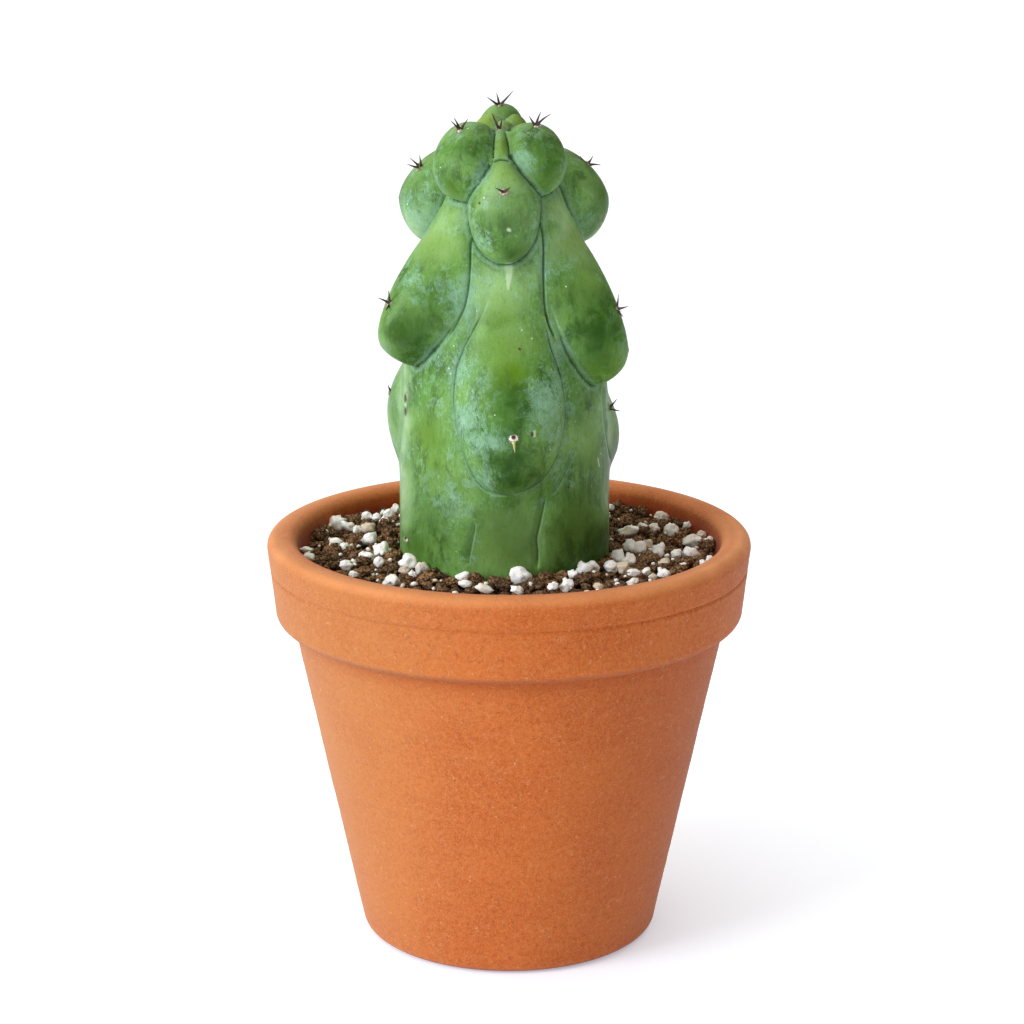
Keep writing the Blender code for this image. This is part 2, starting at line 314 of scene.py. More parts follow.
def addStudio():
    world = bpy.data.worlds.new("paleRoom")
    world.use_nodes = True
    nodes, links = world.node_tree.nodes, world.node_tree.links
    back = nodes["Background"]
    way = nodes.new("ShaderNodeTexCoord")
    facing = nodes.new("ShaderNodeVectorMath")
    facing.operation = "DOT_PRODUCT"
    facing.inputs[1].default_value = Vector(studio["litSide"]).normalized()
    fade = nodes.new("ShaderNodeMapRange")
    fade.interpolation_type = "SMOOTHSTEP"
    numbers = (*studio["worldFade"], studio["worldShade"], studio["worldLit"])
    for socket, number in zip(("From Min", "From Max", "To Min", "To Max"), numbers):
        fade.inputs[socket].default_value = number
    links.new(way.outputs["Generated"], facing.inputs[0])
    links.new(facing.outputs["Value"], fade.inputs["Value"])
    links.new(fade.outputs["Result"], back.inputs["Strength"])
    back.inputs["Color"].default_value = (*studio["worldTint"], 1.0)
    bpy.context.scene.world = world
    bpy.context.scene.view_settings.view_transform = "Standard"
    bpy.ops.object.light_add(type="AREA", location=studio["keyPlace"])
    lamp = bpy.context.object
    lamp.name = "keySoftbox"
    lamp.data.size = studio["keySize"]
    lamp.data.energy = studio["keyPower"]
    lamp.data.color = studio["keyTint"]
    aim = Vector(studio["keyAim"]) - Vector(studio["keyPlace"])
    lamp.rotation_euler = aim.to_track_quat("-Z", "Y").to_euler()
    floor = addMesh("paleFloor", bpy.ops.mesh.primitive_plane_add, size=studio["floorSize"],
                    location=(0.0, 0.0, -studio["floorDrop"]))
    paint = Finish("paleFloor").done(studio["floorColour"], 0.9, Emission_Color=studio["floorGlowTint"],
                                     Emission_Strength=studio["floorGlow"])
    floor.data.materials.append(paint)


print("camera, light and floor")
addCamera()
addStudio()


# Turned bodies, ring by ring

def turnRings(name, outline, sides):
    # a circle is drawn at the outline's first point, then extruded and resized point by point
    radius, height = outline[0]
    piece = addMesh(name, bpy.ops.mesh.primitive_circle_add, vertices=sides, radius=radius,
                    location=(0.0, 0.0, height))
    bpy.ops.object.mode_set(mode="EDIT")
    bpy.ops.mesh.select_all(action="SELECT")
    for nextRadius, nextHeight in outline[1:]:
        bpy.ops.mesh.extrude_edges_move(TRANSFORM_OT_translate={"value": (0.0, 0.0, nextHeight - height)})
        grow = nextRadius / radius
        bpy.ops.transform.resize(value=(grow, grow, 1.0), center_override=(0.0, 0.0, 0.0))
        radius, height = nextRadius, nextHeight
    bpy.ops.mesh.select_all(action="SELECT")
    bpy.ops.mesh.remove_doubles(threshold=0.00001)
    bpy.ops.mesh.fill_holes(sides=0)
    bpy.ops.mesh.select_all(action="SELECT")
    bpy.ops.mesh.normals_make_consistent(inside=False)
    bpy.ops.object.mode_set(mode="OBJECT")
    return piece


def roundCorner(centre, radius, start, end, steps):
    angles = [math.radians(start + (end - start) * n / steps) for n in range(steps + 1)]
    return [(centre[0] + radius * math.cos(a), centre[1] + radius * math.sin(a)) for a in angles]


def wall(start, end, step):
    # points along a straight wall, without its two ends
    count = max(1, round(math.dist(start, end) / step))
    return [(start[0] + (end[0] - start[0]) * n / count, start[1] + (end[1] - start[1]) * n / count)
            for n in range(1, count)]


def smoothShade(piece, angle):
    pickUp(piece)
    bpy.ops.object.shade_smooth_by_angle(angle=math.radians(angle))


def ridesPot(piece, paint, slotName, *replaced):
    # a finished piece belongs to the part's one body, the pot and all that stands in it
    piece.data.materials.append(paint)
    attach(piece, "root")
    if replaced:
        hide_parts(*replaced)


# The clay pot

pot = {
    "height": 128.4 * mm,
    "rimRadius": 75.0 * mm,
    "rimWall": 8.6 * mm,
    "lipRound": 3.2 * mm,
    "innerLipRound": 3.4 * mm,
    "collarFootRadius": 72.7 * mm,
    "collarFootHeight": 101.8 * mm,
    "collarRound": 3.4 * mm,
    "bodyTopRadius": 67.4 * mm,
    "baseRadius": 46.7 * mm,
    "footRound": 4.0 * mm,
    "footRingWidth": 12.0 * mm,
    "footRecess": 1.2 * mm,
    "floorThickness": 8.5 * mm,
    "floorFillet": 6.0 * mm,
    "filletInset": 4.8 * mm,
    "drainRadius": 10.0 * mm,
    "innerFloorRadius": 40.5 * mm,
    "grooveHeight": 118.6 * mm,
    "grooveWidth": 0.9 * mm,
    "grooveDepth": 0.45 * mm,
    "grooveWander": 0.5 * mm,
    "turningDepth": 0.07 * mm,
    "turningWidths": (1.6 * mm, 0.7 * mm),
    "outOfRound": 0.12 * mm,
    "outOfRoundRise": 22.0 * mm,
    "sides": 176,
    "ringSteps": (1.5 * mm, 0.45 * mm, 4.0 * mm),  # between rings on the body, the collar and the inside
    "clay": (0.450, 0.088, 0.011),
    "clayWarm": (0.520, 0.120, 0.018),
    "clayLitHaze": (0.40, 0.205, 0.062),  # painted light: a paler haze on the pot's lit left side
    "clayShadedSide": (0.260, 0.042, 0.003),  # painted shade on its shaded right side, below the collar
    "clayRubbedLit": (0.80, 0.320, 0.118),  # its lip: rubbed paler, with a painted highlight that is stronger on the right
    "clayDampShaded": (0.31, 0.036, 0.002),  # its inside: damp, with painted shade deeper down
}


def innerRadius(height):
    share = (height - pot["floorThickness"]) / (pot["height"] - pot["floorThickness"])
    return pot["innerFloorRadius"] + share * (pot["rimRadius"] - pot["rimWall"] - pot["innerFloorRadius"])


def potOutline():
    # from the drain hole under the foot, up the outside, over the lip and down to the drain hole
    drain, recess, base = pot["drainRadius"], pot["footRecess"], pot["baseRadius"]
    ring = base - pot["footRingWidth"]
    outline = [(drain, recess), (0.5 * (drain + ring), recess), (ring - recess, recess), (ring, 0.0)]
    outline += roundCorner((base - pot["footRound"], pot["footRound"]), pot["footRound"], -90, -15, 5)
    bodyTop = (pot["bodyTopRadius"], pot["collarFootHeight"])
    bodyStep, collarStep, insideStep = pot["ringSteps"]
    outline += wall(outline[-1], bodyTop, bodyStep) + [bodyTop]
    corner = (pot["collarFootRadius"] - pot["collarRound"], pot["collarFootHeight"] + pot["collarRound"])
    outline += roundCorner(corner, pot["collarRound"], -90, 0, 7)
    lipMiddle = pot["height"] - pot["lipRound"]
    lip = roundCorner((pot["rimRadius"] - pot["lipRound"], lipMiddle), pot["lipRound"], 0, 90, 7)
    outline += wall(outline[-1], lip[0], collarStep) + lip
    innerRound = pot["innerLipRound"]
    innerLip = pot["height"] - innerRound
    inner = roundCorner((innerRadius(innerLip) + innerRound, innerLip), innerRound, 90, 180, 6)
    outline += inner
    fillet = (pot["innerFloorRadius"] - pot["filletInset"], pot["floorThickness"] + pot["floorFillet"])
    floorRound = roundCorner(fillet, pot["floorFillet"], -12, -90, 5)
    outline += wall(inner[-1], floorRound[0], insideStep) + floorRound
    outline += [(drain, pot["floorThickness"]), (drain, recess)]
    return outline


def wearPot(piece):
    # turning marks, the incised line round the collar and a hand-made waviness
    dampAndShade = []
    for vertex in piece.data.vertices:
        x, y, z = vertex.co
        radius = math.hypot(x, y)
        turn = math.atan2(y, x)
        outside = radius > innerRadius(z) + 0.5 * pot["rimWall"] and z > pot["footRound"]
        dampAndShade.append(0.0 if outside or z < pot["footRound"] else 1.0)
        if not outside:
            continue
        aside, along = math.cos(turn), math.sin(turn)
        broad, narrow = pot["turningWidths"]
        push = pot["turningDepth"] * noise.noise((0.4 * aside, 0.4 * along, z / broad))
        push += 0.5 * pot["turningDepth"] * noise.noise((1.6 * aside, 1.6 * along, z / narrow))
        push += pot["outOfRound"] * noise.noise((1.5 * aside, 1.5 * along, z / pot["outOfRoundRise"]))
        middle = pot["grooveHeight"] + pot["grooveWander"] * noise.noise((1.8 * aside, 1.8 * along, 5.0))
        across = (z - middle) / (0.5 * pot["grooveWidth"])
        push -= pot["grooveDepth"] * math.exp(-across * across)
        push = min(push, pot["rimRadius"] - radius)
        vertex.co.x += push * aside
        vertex.co.y += push * along
    paintOn(piece.data, {"dampAndShade": dampAndShade})


def clayFinish():
    clay = Finish("firedClay")
    cloud = clay.grain(26 * mm, 3.0, 0.5, 0.4)
    sand = clay.grain(0.55 * mm, 3.0, 0.6)
    coarse = clay.grain(1.3 * mm, 5.0, 0.7)
    strata = clay.grain(9 * mm, 4.0, 0.55, 0.0, (0.22, 0.22, 3.2))
    aside, height, dampAndShade = clay.along("X"), clay.along("Z"), clay.mark("dampAndShade")
    dry = clay.between(dampAndShade, 1.0, 0.0)
    colour = clay.coats(pot["clay"], [
        (cloud, 0.3, 0.7, 1.0, pot["clayWarm"]),
        (strata, 0.45, 0.75, 0.22, (0.575, 0.165, 0.038)),
        (strata, 0.42, 0.20, 0.18, (0.365, 0.064, 0.008)),
        (sand, 0.42, 0.60, 0.72, (0.590, 0.165, 0.036)),
        (coarse, 0.52, 0.68, 0.55, (0.630, 0.200, 0.055)),
        (coarse, 0.47, 0.32, 0.55, (0.320, 0.052, 0.005)),
    ])
    for size, low, high, share, tone in ((2.6 * mm, 0.60, 0.64, 0.75, (0.20, 0.050, 0.014)),
                                         (1.5 * mm, 0.62, 0.66, 0.6, (0.26, 0.060, 0.014)),
                                         (3.4 * mm, 0.60, 0.64, 0.45, (0.74, 0.36, 0.17)),
                                         (1.9 * mm, 0.63, 0.67, 0.5, (0.74, 0.34, 0.15))):
        near, tint = clay.dots(size)
        colour = clay.lay(colour, tone, clay.between(near, 0.14, 0.06), clay.between(tint, low, high), share)
    # painted light: paler on the lit left side; painted shade: darker on the right side below the collar
    colour = clay.lay(colour, pot["clayLitHaze"], clay.between(aside, 6 * mm, -62 * mm, 0.0, 0.45),
                      clay.between(cloud, 0.2, 0.6, 0.8, 1.0), dry)
    corner = pot["collarFootHeight"]
    colour = clay.lay(colour, pot["clayShadedSide"], clay.between(aside, 12 * mm, 58 * mm, 0.0, 0.30),
                      clay.between(height, corner - 0.8 * mm, corner - 9.8 * mm))
    # painted shade in the collar's lower corner, and a painted shadow under the collar
    colour = clay.lay(colour, (0.235, 0.052, 0.012), dry,
                      clay.between(height, corner + 2.6 * mm, corner + 0.6 * mm, 0.0, 0.60),
                      clay.between(height, corner - 0.4 * mm, corner + 0.1 * mm))
    colour = clay.lay(colour, (0.330, 0.052, 0.004), dry,
                      clay.between(height, corner - 8.0 * mm, corner - 0.5 * mm, 0.0, 0.38),
                      clay.between(height, corner + 0.3 * mm, corner))
    # short scratches, in places only, and scuffs
    scratch = clay.times(clay.threads(clay.grain(2.2 * mm, 2.0, 0.5, 1.6), 0.018, 0.005),
                         clay.between(clay.grain(3.1 * mm, 2.0, 0.5), 0.54, 0.60))
    colour = clay.lay(colour, (0.74, 0.30, 0.12), scratch, 0.65)
    colour = clay.lay(colour, (0.72, 0.30, 0.13), clay.between(clay.grain(5 * mm, 6.0, 0.7, 1.2), 0.60, 0.72),
                      clay.between(clay.grain(40 * mm, 2.0), 0.45, 0.6), 0.4)
    # the inside is damp and darker deeper down as painted shade, the lip is rubbed paler with a painted
    # highlight, and a painted contact shadow darkens the foot where it meets the floor
    lip = pot["height"]
    colour = clay.lay(colour, pot["clayDampShaded"], dampAndShade,
                      clay.between(height, lip - 1.2 * mm, lip - 6.5 * mm), 0.95)
    # painted highlight and rubbed wear on the lip
    colour = clay.lay(colour, pot["clayRubbedLit"],
                      clay.between(height, lip - 3.4 * mm, lip - 0.4 * mm, 0.0, 0.62),
                      clay.between(cloud, 0.2, 0.6, 0.55, 1.0), clay.between(dampAndShade, 0.0, 1.0, 1.0, 0.60),
                      clay.between(aside, 15 * mm, 70 * mm, 1.0, 1.35))
    # painted contact shadow where the foot meets the floor
    colour = clay.coats(colour, [(height, 1.7 * mm, 0.3 * mm, 0.62, (0.150, 0.036, 0.010))])
    normal = None
    for value, depth, strength in ((sand, 0.22 * mm, 0.85), (coarse, 0.26 * mm, 0.6),
                                   (scratch, 0.10 * mm, 0.7), (strata, 0.35 * mm, 0.25)):
        normal = clay.relief(value, depth, strength, normal)
    return clay.done(colour, 0.66, normal, Sheen_Weight=0.09, Sheen_Roughness=0.45, Specular_IOR_Level=0.20)


def makePot():
    piece = turnRings("clayPot", potOutline(), pot["sides"])
    wearPot(piece)
    smoothShade(piece, 50)
    ridesPot(piece, clayFinish(), "clay", "pot")


print("pot")
makePot()


# The stem's form: a column and the lobes that hang on it

stem = {
    "centre": Vector((-1.4 * mm, 0.0, 0.0)),
    "columnSize": (65.0, 156.0),  # the column's width and height, in millimetres
    "columnCell": 2.4,  # sizes of the balls' faces, in millimetres
    "lobeCell": 1.5,
    "coreVoxel": 1.3 * mm,
    "coreSmooth": 40,
    "skinVoxel": 1.2 * mm,
    "skinSmooth": 6,
    "creaseBands": (1.7 * mm, 0.6 * mm),  # how far from a crease or fold the faces are halved, twice
    "creaseDepth": 1.0 * mm,
    "creaseWidth": 0.55 * mm,
    "valleyDepth": 0.55 * mm,
    "valleyWidth": 2.2 * mm,
    "reach": 6.0 * mm,  # how far off a growth a place may lie and still belong to it
    "stripTop": 255.0 * mm,  # below this height the front tip is edged by drawn folds
    "hangsBelow": 190.0 * mm,  # below this height the flanks hang free
    "creaseSlant": (0.12, 0.42),  # sines of the angle at which two growths begin to crease, and crease fully
    "leastSlant": 0.3,
    "easeFade": 16.0 * mm,  # over this height the flanks come to grow smoothly out of the column
    "easeReach": 5.0 * mm,
    "easeRounds": 70,
    "foldHollow": 2.0 * mm,  # how wide a fold's soft hollow is, and the low rim that runs along it
    "foldRim": 0.12 * mm,
    "foldRimAway": 2.4 * mm,
    "corkRise": 0.1 * mm,
    "corkEdge": (1.0, 1.6),  # how sharply a mark ends, and how many of its radii away
    "scarRise": 0.05 * mm,
    "scarEdge": (2.0, 1.25),
    "youngReach": 1.2 * mm,
    "green": (0.086, 0.222, 0.038),
    "greenLight": (0.200, 0.375, 0.092),
    "greenDeep": (0.016, 0.062, 0.004),
    "greenYellow": (0.120, 0.235, 0.008),
    "greenYoung": (0.290, 0.430, 0.070),
    "wax": (0.250, 0.450, 0.325),
}

# height and radius in millimetres
column = [(98, 0), (98, 28), (100, 30.5), (108, 32.2), (122, 32.6), (140, 32.6), (160, 32.4), (180, 31.4),
          (196, 29.2), (212, 25.6), (226, 21.6), (238, 17.6), (247, 13), (252, 8), (254.5, 0)]


def lobe(azimuth, heights, half, reach, root=20.0, lean=3.0, point=1.0, slope=1.0, full=1.0, boxy=2.0,
         wedge=0.0, areole=None):
    # in millimetres. heights: of its top, greatest width, greatest reach and lower end. reach and root are
    # how far its face and its middle stand from the axis, and lean is how far the middle goes in at the top.
    # point, slope and full shape its top from the front, its top from the side and its lower end. boxy is 2
    # for a round section, and wedge narrows it outwards. areole: degrees across and height
    top, wideAt, deepAt, low = heights
    return dict(azimuth=azimuth, top=top, wideAt=wideAt, deepAt=deepAt, low=low, half=half, reach=reach,
                root=root, lean=lean, point=point, slope=slope, full=full, boxy=boxy, wedge=wedge,
                areole=areole)


lobes = {
    "tipFront": lobe(-3, (257.2, 245.0, 245.0, 238.0), half=3.4, reach=25.8, root=15.0, lean=6.5,
                     point=0.6, slope=0.8, boxy=2.6, areole=(0, 255.6)),
    "tipRight": lobe(60, (258.2, 253.0, 253.0, 245.0), half=4.2, reach=8.0, root=3.5, lean=0.0),
    "tipLeft": lobe(-66, (258.2, 253.0, 253.0, 245.0), half=4.2, reach=10.0, root=4.5, lean=0.0),
    "crownLeft": lobe(-35, (257.3, 246.0, 244.0, 233.8), half=10.0, reach=29.0, root=18.9, point=0.75,
                      full=0.85, boxy=2.4, areole=(-10, 254.5)),
    "crownRight": lobe(29.5, (257.0, 247.0, 245.0, 235.5), half=9.3, reach=27.6, root=17.9, point=0.75,
                       full=0.85, boxy=2.4, areole=(8, 255.0)),
    "crownBack": lobe(186, (260.4, 250.0, 248.0, 236.0), half=7.6, reach=18.5, root=10.0, lean=2.5,
                      areole=(0, 259.6)),
    "shoulderFront": lobe(0, (250.2, 233.0, 232.0, 216.0), half=11.0, reach=33.0, root=21.0, lean=2.5,
                          point=2.3, slope=1.1, full=0.95, boxy=2.2, areole=(-1, 239.0)),
    "shoulderLeft": lobe(-110, (248.4, 233.5, 232.0, 216.5), half=13.0, reach=33.5, lean=6.0,
                         areole=(40, 242.0)),
    "shoulderRight": lobe(110, (248.0, 233.0, 231.0, 216.5), half=13.0, reach=33.2, lean=6.0,
                          areole=(-40, 242.0)),
    "flankLeft": lobe(-62, (250.0, 208.0, 194.0, 180.4), half=18.4, reach=42.6, lean=18.0, point=2.0,
                      slope=3.0, full=1.55, boxy=2.3, wedge=0.5, areole=(-30, 202.0)),
    "flankRight": lobe(62, (250.0, 208.0, 189.5, 176.0), half=17.8, reach=41.8, lean=18.0, point=2.0,
                       slope=2.6, full=0.9, boxy=2.3, wedge=0.5, areole=(30, 200.0)),
    "flankBack": lobe(180, (250.0, 208.0, 194.0, 179.0), half=18.2, reach=40.0, lean=18.0, point=2.0,
                      slope=2.4, full=0.75, boxy=2.3, wedge=0.5, areole=(0, 204.0)),
    "bellyFront": lobe(3, (226.0, 174.0, 164.0, 140.0), half=18.4, reach=37.6, lean=8.0, point=1.4,
                       slope=1.2, full=0.85, boxy=2.2, areole=(4, 166.5)),
    "bellyLeft": lobe(-110, (192.0, 170.0, 166.0, 138.0), half=16.0, reach=38.4, lean=4.0, slope=1.2,
                      areole=(30, 167.5)),
    "bellyRight": lobe(110, (185.0, 164.0, 157.0, 140.0), half=16.0, reach=37.8, lean=4.0, slope=1.2,
                       areole=(-30, 166.0)),
    "yokeLeft": lobe(-38, (244.0, 226.0, 224.0, 188.0), half=11.0, reach=26.5, root=12.0, lean=2.0),
    "yokeRight": lobe(38, (244.0, 226.0, 224.0, 188.0), half=11.0, reach=26.5, root=12.0, lean=2.0),
    "footLeft": lobe(-64, (164.0, 136.0, 134.0, 112.0), half=15.0, reach=34.2, areole=(-16, 127.0)),
    "footRight": lobe(64, (160.0, 138.0, 136.0, 112.0), half=15.0, reach=33.8),
    "footBack": lobe(180, (164.0, 136.0, 134.0, 112.0), half=15.0, reach=34.4, areole=(0, 132.0)),
    "footFront": lobe(1, (152.0, 130.0, 130.0, 106.0), half=11.5, reach=33.6, root=22.0, lean=1.0),
}

# the lobes that have grown back into the column
mergedLobes = [name for name in lobes if name.startswith(("belly", "yoke", "foot"))]


def egg(height, shape, middle, taper):
    # share of a lobe's full width or reach at a height
    if height > shape[middle]:
        share = (height - shape[middle]) / (shape["top"] - shape[middle])
        return max(1.0 - share * share, 0.0) ** (shape[taper] / 2)
    share = (shape[middle] - height) / (shape[middle] - shape["low"])
    return max(1.0 - share * share, 0.0) ** (shape["full"] / 2)


def lobePoint(shape, across, outward, height):
    power = shape["boxy"]
    fill = (abs(across) ** power + abs(outward) ** power) ** (-1.0 / power)
    across, outward = across * fill, outward * fill
    rise = max(height - shape["deepAt"], 0.0) / (shape["top"] - shape["deepAt"])
    middle = shape["root"] - shape["lean"] * rise ** 1.2
    aside = across * shape["half"] * egg(height, shape, "wideAt", "point")
    aside *= 1.0 - shape["wedge"] * outward
    out = middle + outward * (shape["reach"] - shape["root"]) * egg(height, shape, "deepAt", "slope")
    turn = math.radians(shape["azimuth"])
    sideways = Vector((math.cos(turn), math.sin(turn), 0.0))
    outwards = Vector((math.sin(turn), -math.cos(turn), 0.0))
    return stem["centre"] + (sideways * aside + outwards * out + up * height) * mm


def ballToLobe(shape, unit):
    turn = math.atan2(unit.x, -unit.y)
    height = shape["low"] + (shape["top"] - shape["low"]) * (1.0 + unit.z) / 2
    return lobePoint(shape, math.sin(turn), math.cos(turn), height)


def ballToColumn(shape, unit):
    low, top = shape[0][0], shape[-1][0]
    height = low + (top - low) * (1.0 + unit.z) / 2
    turn = math.atan2(unit.y, unit.x)
    for (lower, inner), (higher, outer) in zip(shape[1:], shape[2:]):
        if height <= higher:
            radius = inner + (outer - inner) * (height - lower) / (higher - lower)
            break
    # the rings draw in to a point at each pole
    radius = min(radius, 120.0 * math.hypot(unit.x, unit.y))
    return stem["centre"] + polar(radius, turn, height) * mm


def addGrowth(name, mould, shape, wide, tall, cell):
    # a ball with faces of about one cell, stretched into a growth
    sides = max(28, 2 * round(math.pi * wide / cell / 2))
    rings = max(20, round(math.pi * math.hypot(wide, tall) / math.sqrt(8) / cell * 1.2))
    piece = addMesh(name, bpy.ops.mesh.primitive_uv_sphere_add, segments=sides, ring_count=rings, radius=1.0)
    for vertex in piece.data.vertices:
        vertex.co = mould(shape, vertex.co.normalized())
    piece.data.update()
    return piece


def surfaceOf(piece):
    return BVHTree.FromPolygons([v.co.copy() for v in piece.data.vertices],
                                [tuple(p.vertices) for p in piece.data.polygons])


def joinUp(body, pieces, voxel, rounds):
    # one union, remeshed to even faces and smoothed
    growths = bpy.data.collections.new("growths")
    bpy.context.scene.collection.children.link(growths)
    for piece in pieces:
        growths.objects.link(piece)
    modify(body, "BOOLEAN", operation="UNION", solver="MANIFOLD", operand_type="COLLECTION",
           collection=growths)
    for piece in pieces:
        bpy.data.objects.remove(piece)
    bpy.data.collections.remove(growths)
    modify(body, "REMESH", mode="VOXEL", voxel_size=voxel)
    modify(body, "SMOOTH", factor=0.5, iterations=rounds)


def growStem():
    body = addGrowth("cactusSkin", ballToColumn, column, *stem["columnSize"], stem["columnCell"])
    grown = {}
    for name, shape in lobes.items():
        wide = shape["half"] + shape["reach"] - shape["root"]
        grown[name] = addGrowth(name, ballToLobe, shape, wide, shape["top"] - shape["low"], stem["lobeCell"])
    merged = [grown.pop(name) for name in mergedLobes]
    joinUp(body, merged, stem["coreVoxel"], stem["coreSmooth"])
    surfaces = {"core": surfaceOf(body)}
    surfaces.update({name: surfaceOf(piece) for name, piece in grown.items()})
    joinUp(body, list(grown.values()), stem["skinVoxel"], stem["skinSmooth"])
    return body, surfaces


print("stem: column and lobes")
skin, surfaces = growStem()
skinSurface = surfaceOf(skin)


# Folds, scars and marks, drawn over the skin by the photograph's pixels

def onSkin(pixel):
    # the skin under a pixel, or the skin nearest to its ray past the plant's edge
    origin, ray = throughPixel(pixel)
    place, normal = skinSurface.ray_cast(origin, ray)[:2]
    if place is None:
        reach = -origin.y / ray.y
        place, normal = skinSurface.find_nearest(origin + ray * reach)[:2]
    return place, normal


# pixels along each fold, its depth and half width in millimetres
folds = {
    "stripLeft": ([(495.5, 130), (494.5, 140), (493.5, 150), (493.3, 160)], 0.75, 0.33),
    "stripRight": ([(504.5, 130), (507, 140), (508.7, 150), (509.8, 161)], 0.75, 0.33),
    "stripFoot": ([(492, 162), (498, 159.6), (503, 159.2), (508, 160), (511, 162)], 0.6, 0.4),
    "crownLeftSide": ([(493.3, 158), (490, 167), (485, 174), (480, 181)], 0.5, 0.4),
    "crownRightSide": ([(509.6, 159), (514, 165), (520, 172), (526, 180)], 0.5, 0.4),
    "flankLeft": ([(469, 203), (469, 225), (470, 252), (469, 281), (465, 305), (458, 321), (449, 336),
                   (443, 345)], 0.9, 0.42),
    "flankRight": ([(540, 206), (543, 225), (544, 252), (544, 281), (545, 303), (548, 320), (555, 337),
                    (560, 349)], 0.9, 0.42),
    "bellyLeft": ([(489, 299), (480, 317), (471, 333), (463, 349), (457, 364), (454, 379), (453, 397),
                   (454, 412), (456, 428), (461, 444), (466, 463), (474, 479), (483, 489), (495, 495),
                   (509, 496)], 0.55, 0.42),
    "bellyRight": ([(545, 318), (549, 337), (553, 351), (558, 365), (562, 379), (564, 392), (566, 408),
                    (565, 422), (563, 436), (560, 449), (555, 462), (548, 474), (538, 484), (525, 491),
                    (509, 495)], 0.75, 0.4),
    "besideBelly": ([(475, 303), (475, 318), (470, 334), (464, 348)], 0.3, 0.4),
    "lowRight": ([(576, 450), (568, 468), (559, 486), (552, 496)], 0.36, 0.4),
    "furrowRight": ([(546, 496), (543, 511), (540, 525), (537, 539), (538, 551), (538, 568)], 0.50, 0.38),
    "furrowLeft": ([(475, 522), (473, 538), (470, 552), (468, 566)], 0.36, 0.45),
    "ribLeft": ([(403, 362), (403, 390), (403, 415), (401, 436), (398, 462)], 0.48, 0.42),
    "ribRight": ([(603, 384), (604, 410), (606, 431), (609, 450), (612, 464)], 0.46, 0.42),
}

# closed outlines in pixels of the forms that swell, how far they rise and how soon, in millimetres,
# and the rows over which the swelling sets in
swells = {
    "strip": ([(496, 126), (494.5, 140), (493.5, 150), (493.3, 160), (503, 159.2), (509.8, 161), (508.7, 150),
               (507, 140), (504.5, 126)], 0.7, 1.0, (120, 132)),
    "belly": ([(489, 299), (471, 333), (457, 364), (453, 397), (456, 428), (466, 463), (483, 489),
               (509, 496), (538, 484), (555, 462), (563, 436), (566, 408), (562, 379), (553, 351),
               (545, 318), (515, 290)], 2.1, 3.4, (310, 410)),
    "rightOfFurrow": ([(547, 500), (540, 525), (538, 551), (538, 575), (606, 556), (608, 500), (590, 470)],
                      0.7, 3.0, (480, 530)),
    "leftOfFurrow": ([(474, 520), (470, 552), (468, 572), (405, 560), (401, 500), (440, 480)],
                     0.6, 3.0, (490, 530)),
}

# pixels along each scar and its radii in millimetres from start to end
scars = {
    "paleWedge": ([(509, 268), (509, 276), (508, 289)], 1.35, 0.25),
    "whiteDot": ([(508.5, 229.5), (509.5, 230.3)], 0.5, 0.5),
    "bellyPink": ([(532, 431), (532, 435)], 0.5, 0.4),
    "lowPale": ([(598, 459), (599, 466)], 0.35, 0.35),
    "ribPale": ([(405.5, 402), (405.5, 407)], 1.0, 1.0),
}

# the same for dark flecks of cork
corks = {
    "ribCork": ([(405.5, 397.5), (405.5, 399)], 1.05, 1.05),
    "ribCorkLow": ([(405.5, 410.5), (405.5, 411.5)], 1.1, 1.1),
    "bellyCork": ([(530, 432), (530, 434)], 0.3, 0.3),
    "wart": ([(519, 349), (519.5, 349.5)], 0.3, 0.3),
    "edgeFleck": ([(407, 392), (407, 393)], 0.25, 0.25),
    "lowFleck": ([(568, 487), (568.5, 487.5)], 0.3, 0.3),
    "shoulderFleck": ([(479, 203), (480, 203.5)], 0.3, 0.3),
}


def alongPixels(pixels, step=0.8):
    # a smooth line through the pixels, with a point about every step
    ends = [pixels[0]] + list(pixels) + [pixels[-1]]
    line = []
    for a, b, c, d in zip(ends, ends[1:], ends[2:], ends[3:]):
        count = max(1, round(math.dist(b, c) / step))
        for n in range(count):
            t = n / count
            line.append([0.5 * (2 * q + (r - p) * t + (2 * p - 5 * q + 4 * r - s) * t * t
                                + (3 * q - p - 3 * r + s) * t ** 3) for p, q, r, s in zip(a, b, c, d)])
    return line + [pixels[-1]]


class Strokes:
    # drawn lines laid on the skin, with two sizes at each point, found by nearness

    def __init__(self, drawn, fade=0.0):
        self.points, places = [], []
        for pixels, first, last in drawn.values():
            line = alongPixels(pixels)
            for number, pixel in enumerate(line):
                share = number / max(len(line) - 1, 1)
                ends = min(1.0, min(share, 1.0 - share) / fade) if fade else 1.0
                places.append(onSkin(pixel)[0])
                self.points.append((first, last, share, ends))
        self.tree = kdtree.KDTree(len(places))
        for number, place in enumerate(places):
            self.tree.insert(place, number)
        self.tree.balance()

    def nearest(self, place):
        # distance, then the line's two sizes, the share of its length and how far its end has faded
        number, distance = self.tree.find(place)[1:]
        return distance, *self.points[number]

    def markAt(self, place, sharp, reach):
        # 1 on a line whose radius runs from the first size to the last, falling off past its edge
        distance, first, last, share = self.nearest(place)[:4]
        return clamped(sharp * (reach - distance / ((first + (last - first) * share) * mm)))


foldStrokes = Strokes(folds, 0.12)
scarStrokes = Strokes(scars)
corkStrokes = Strokes(corks)


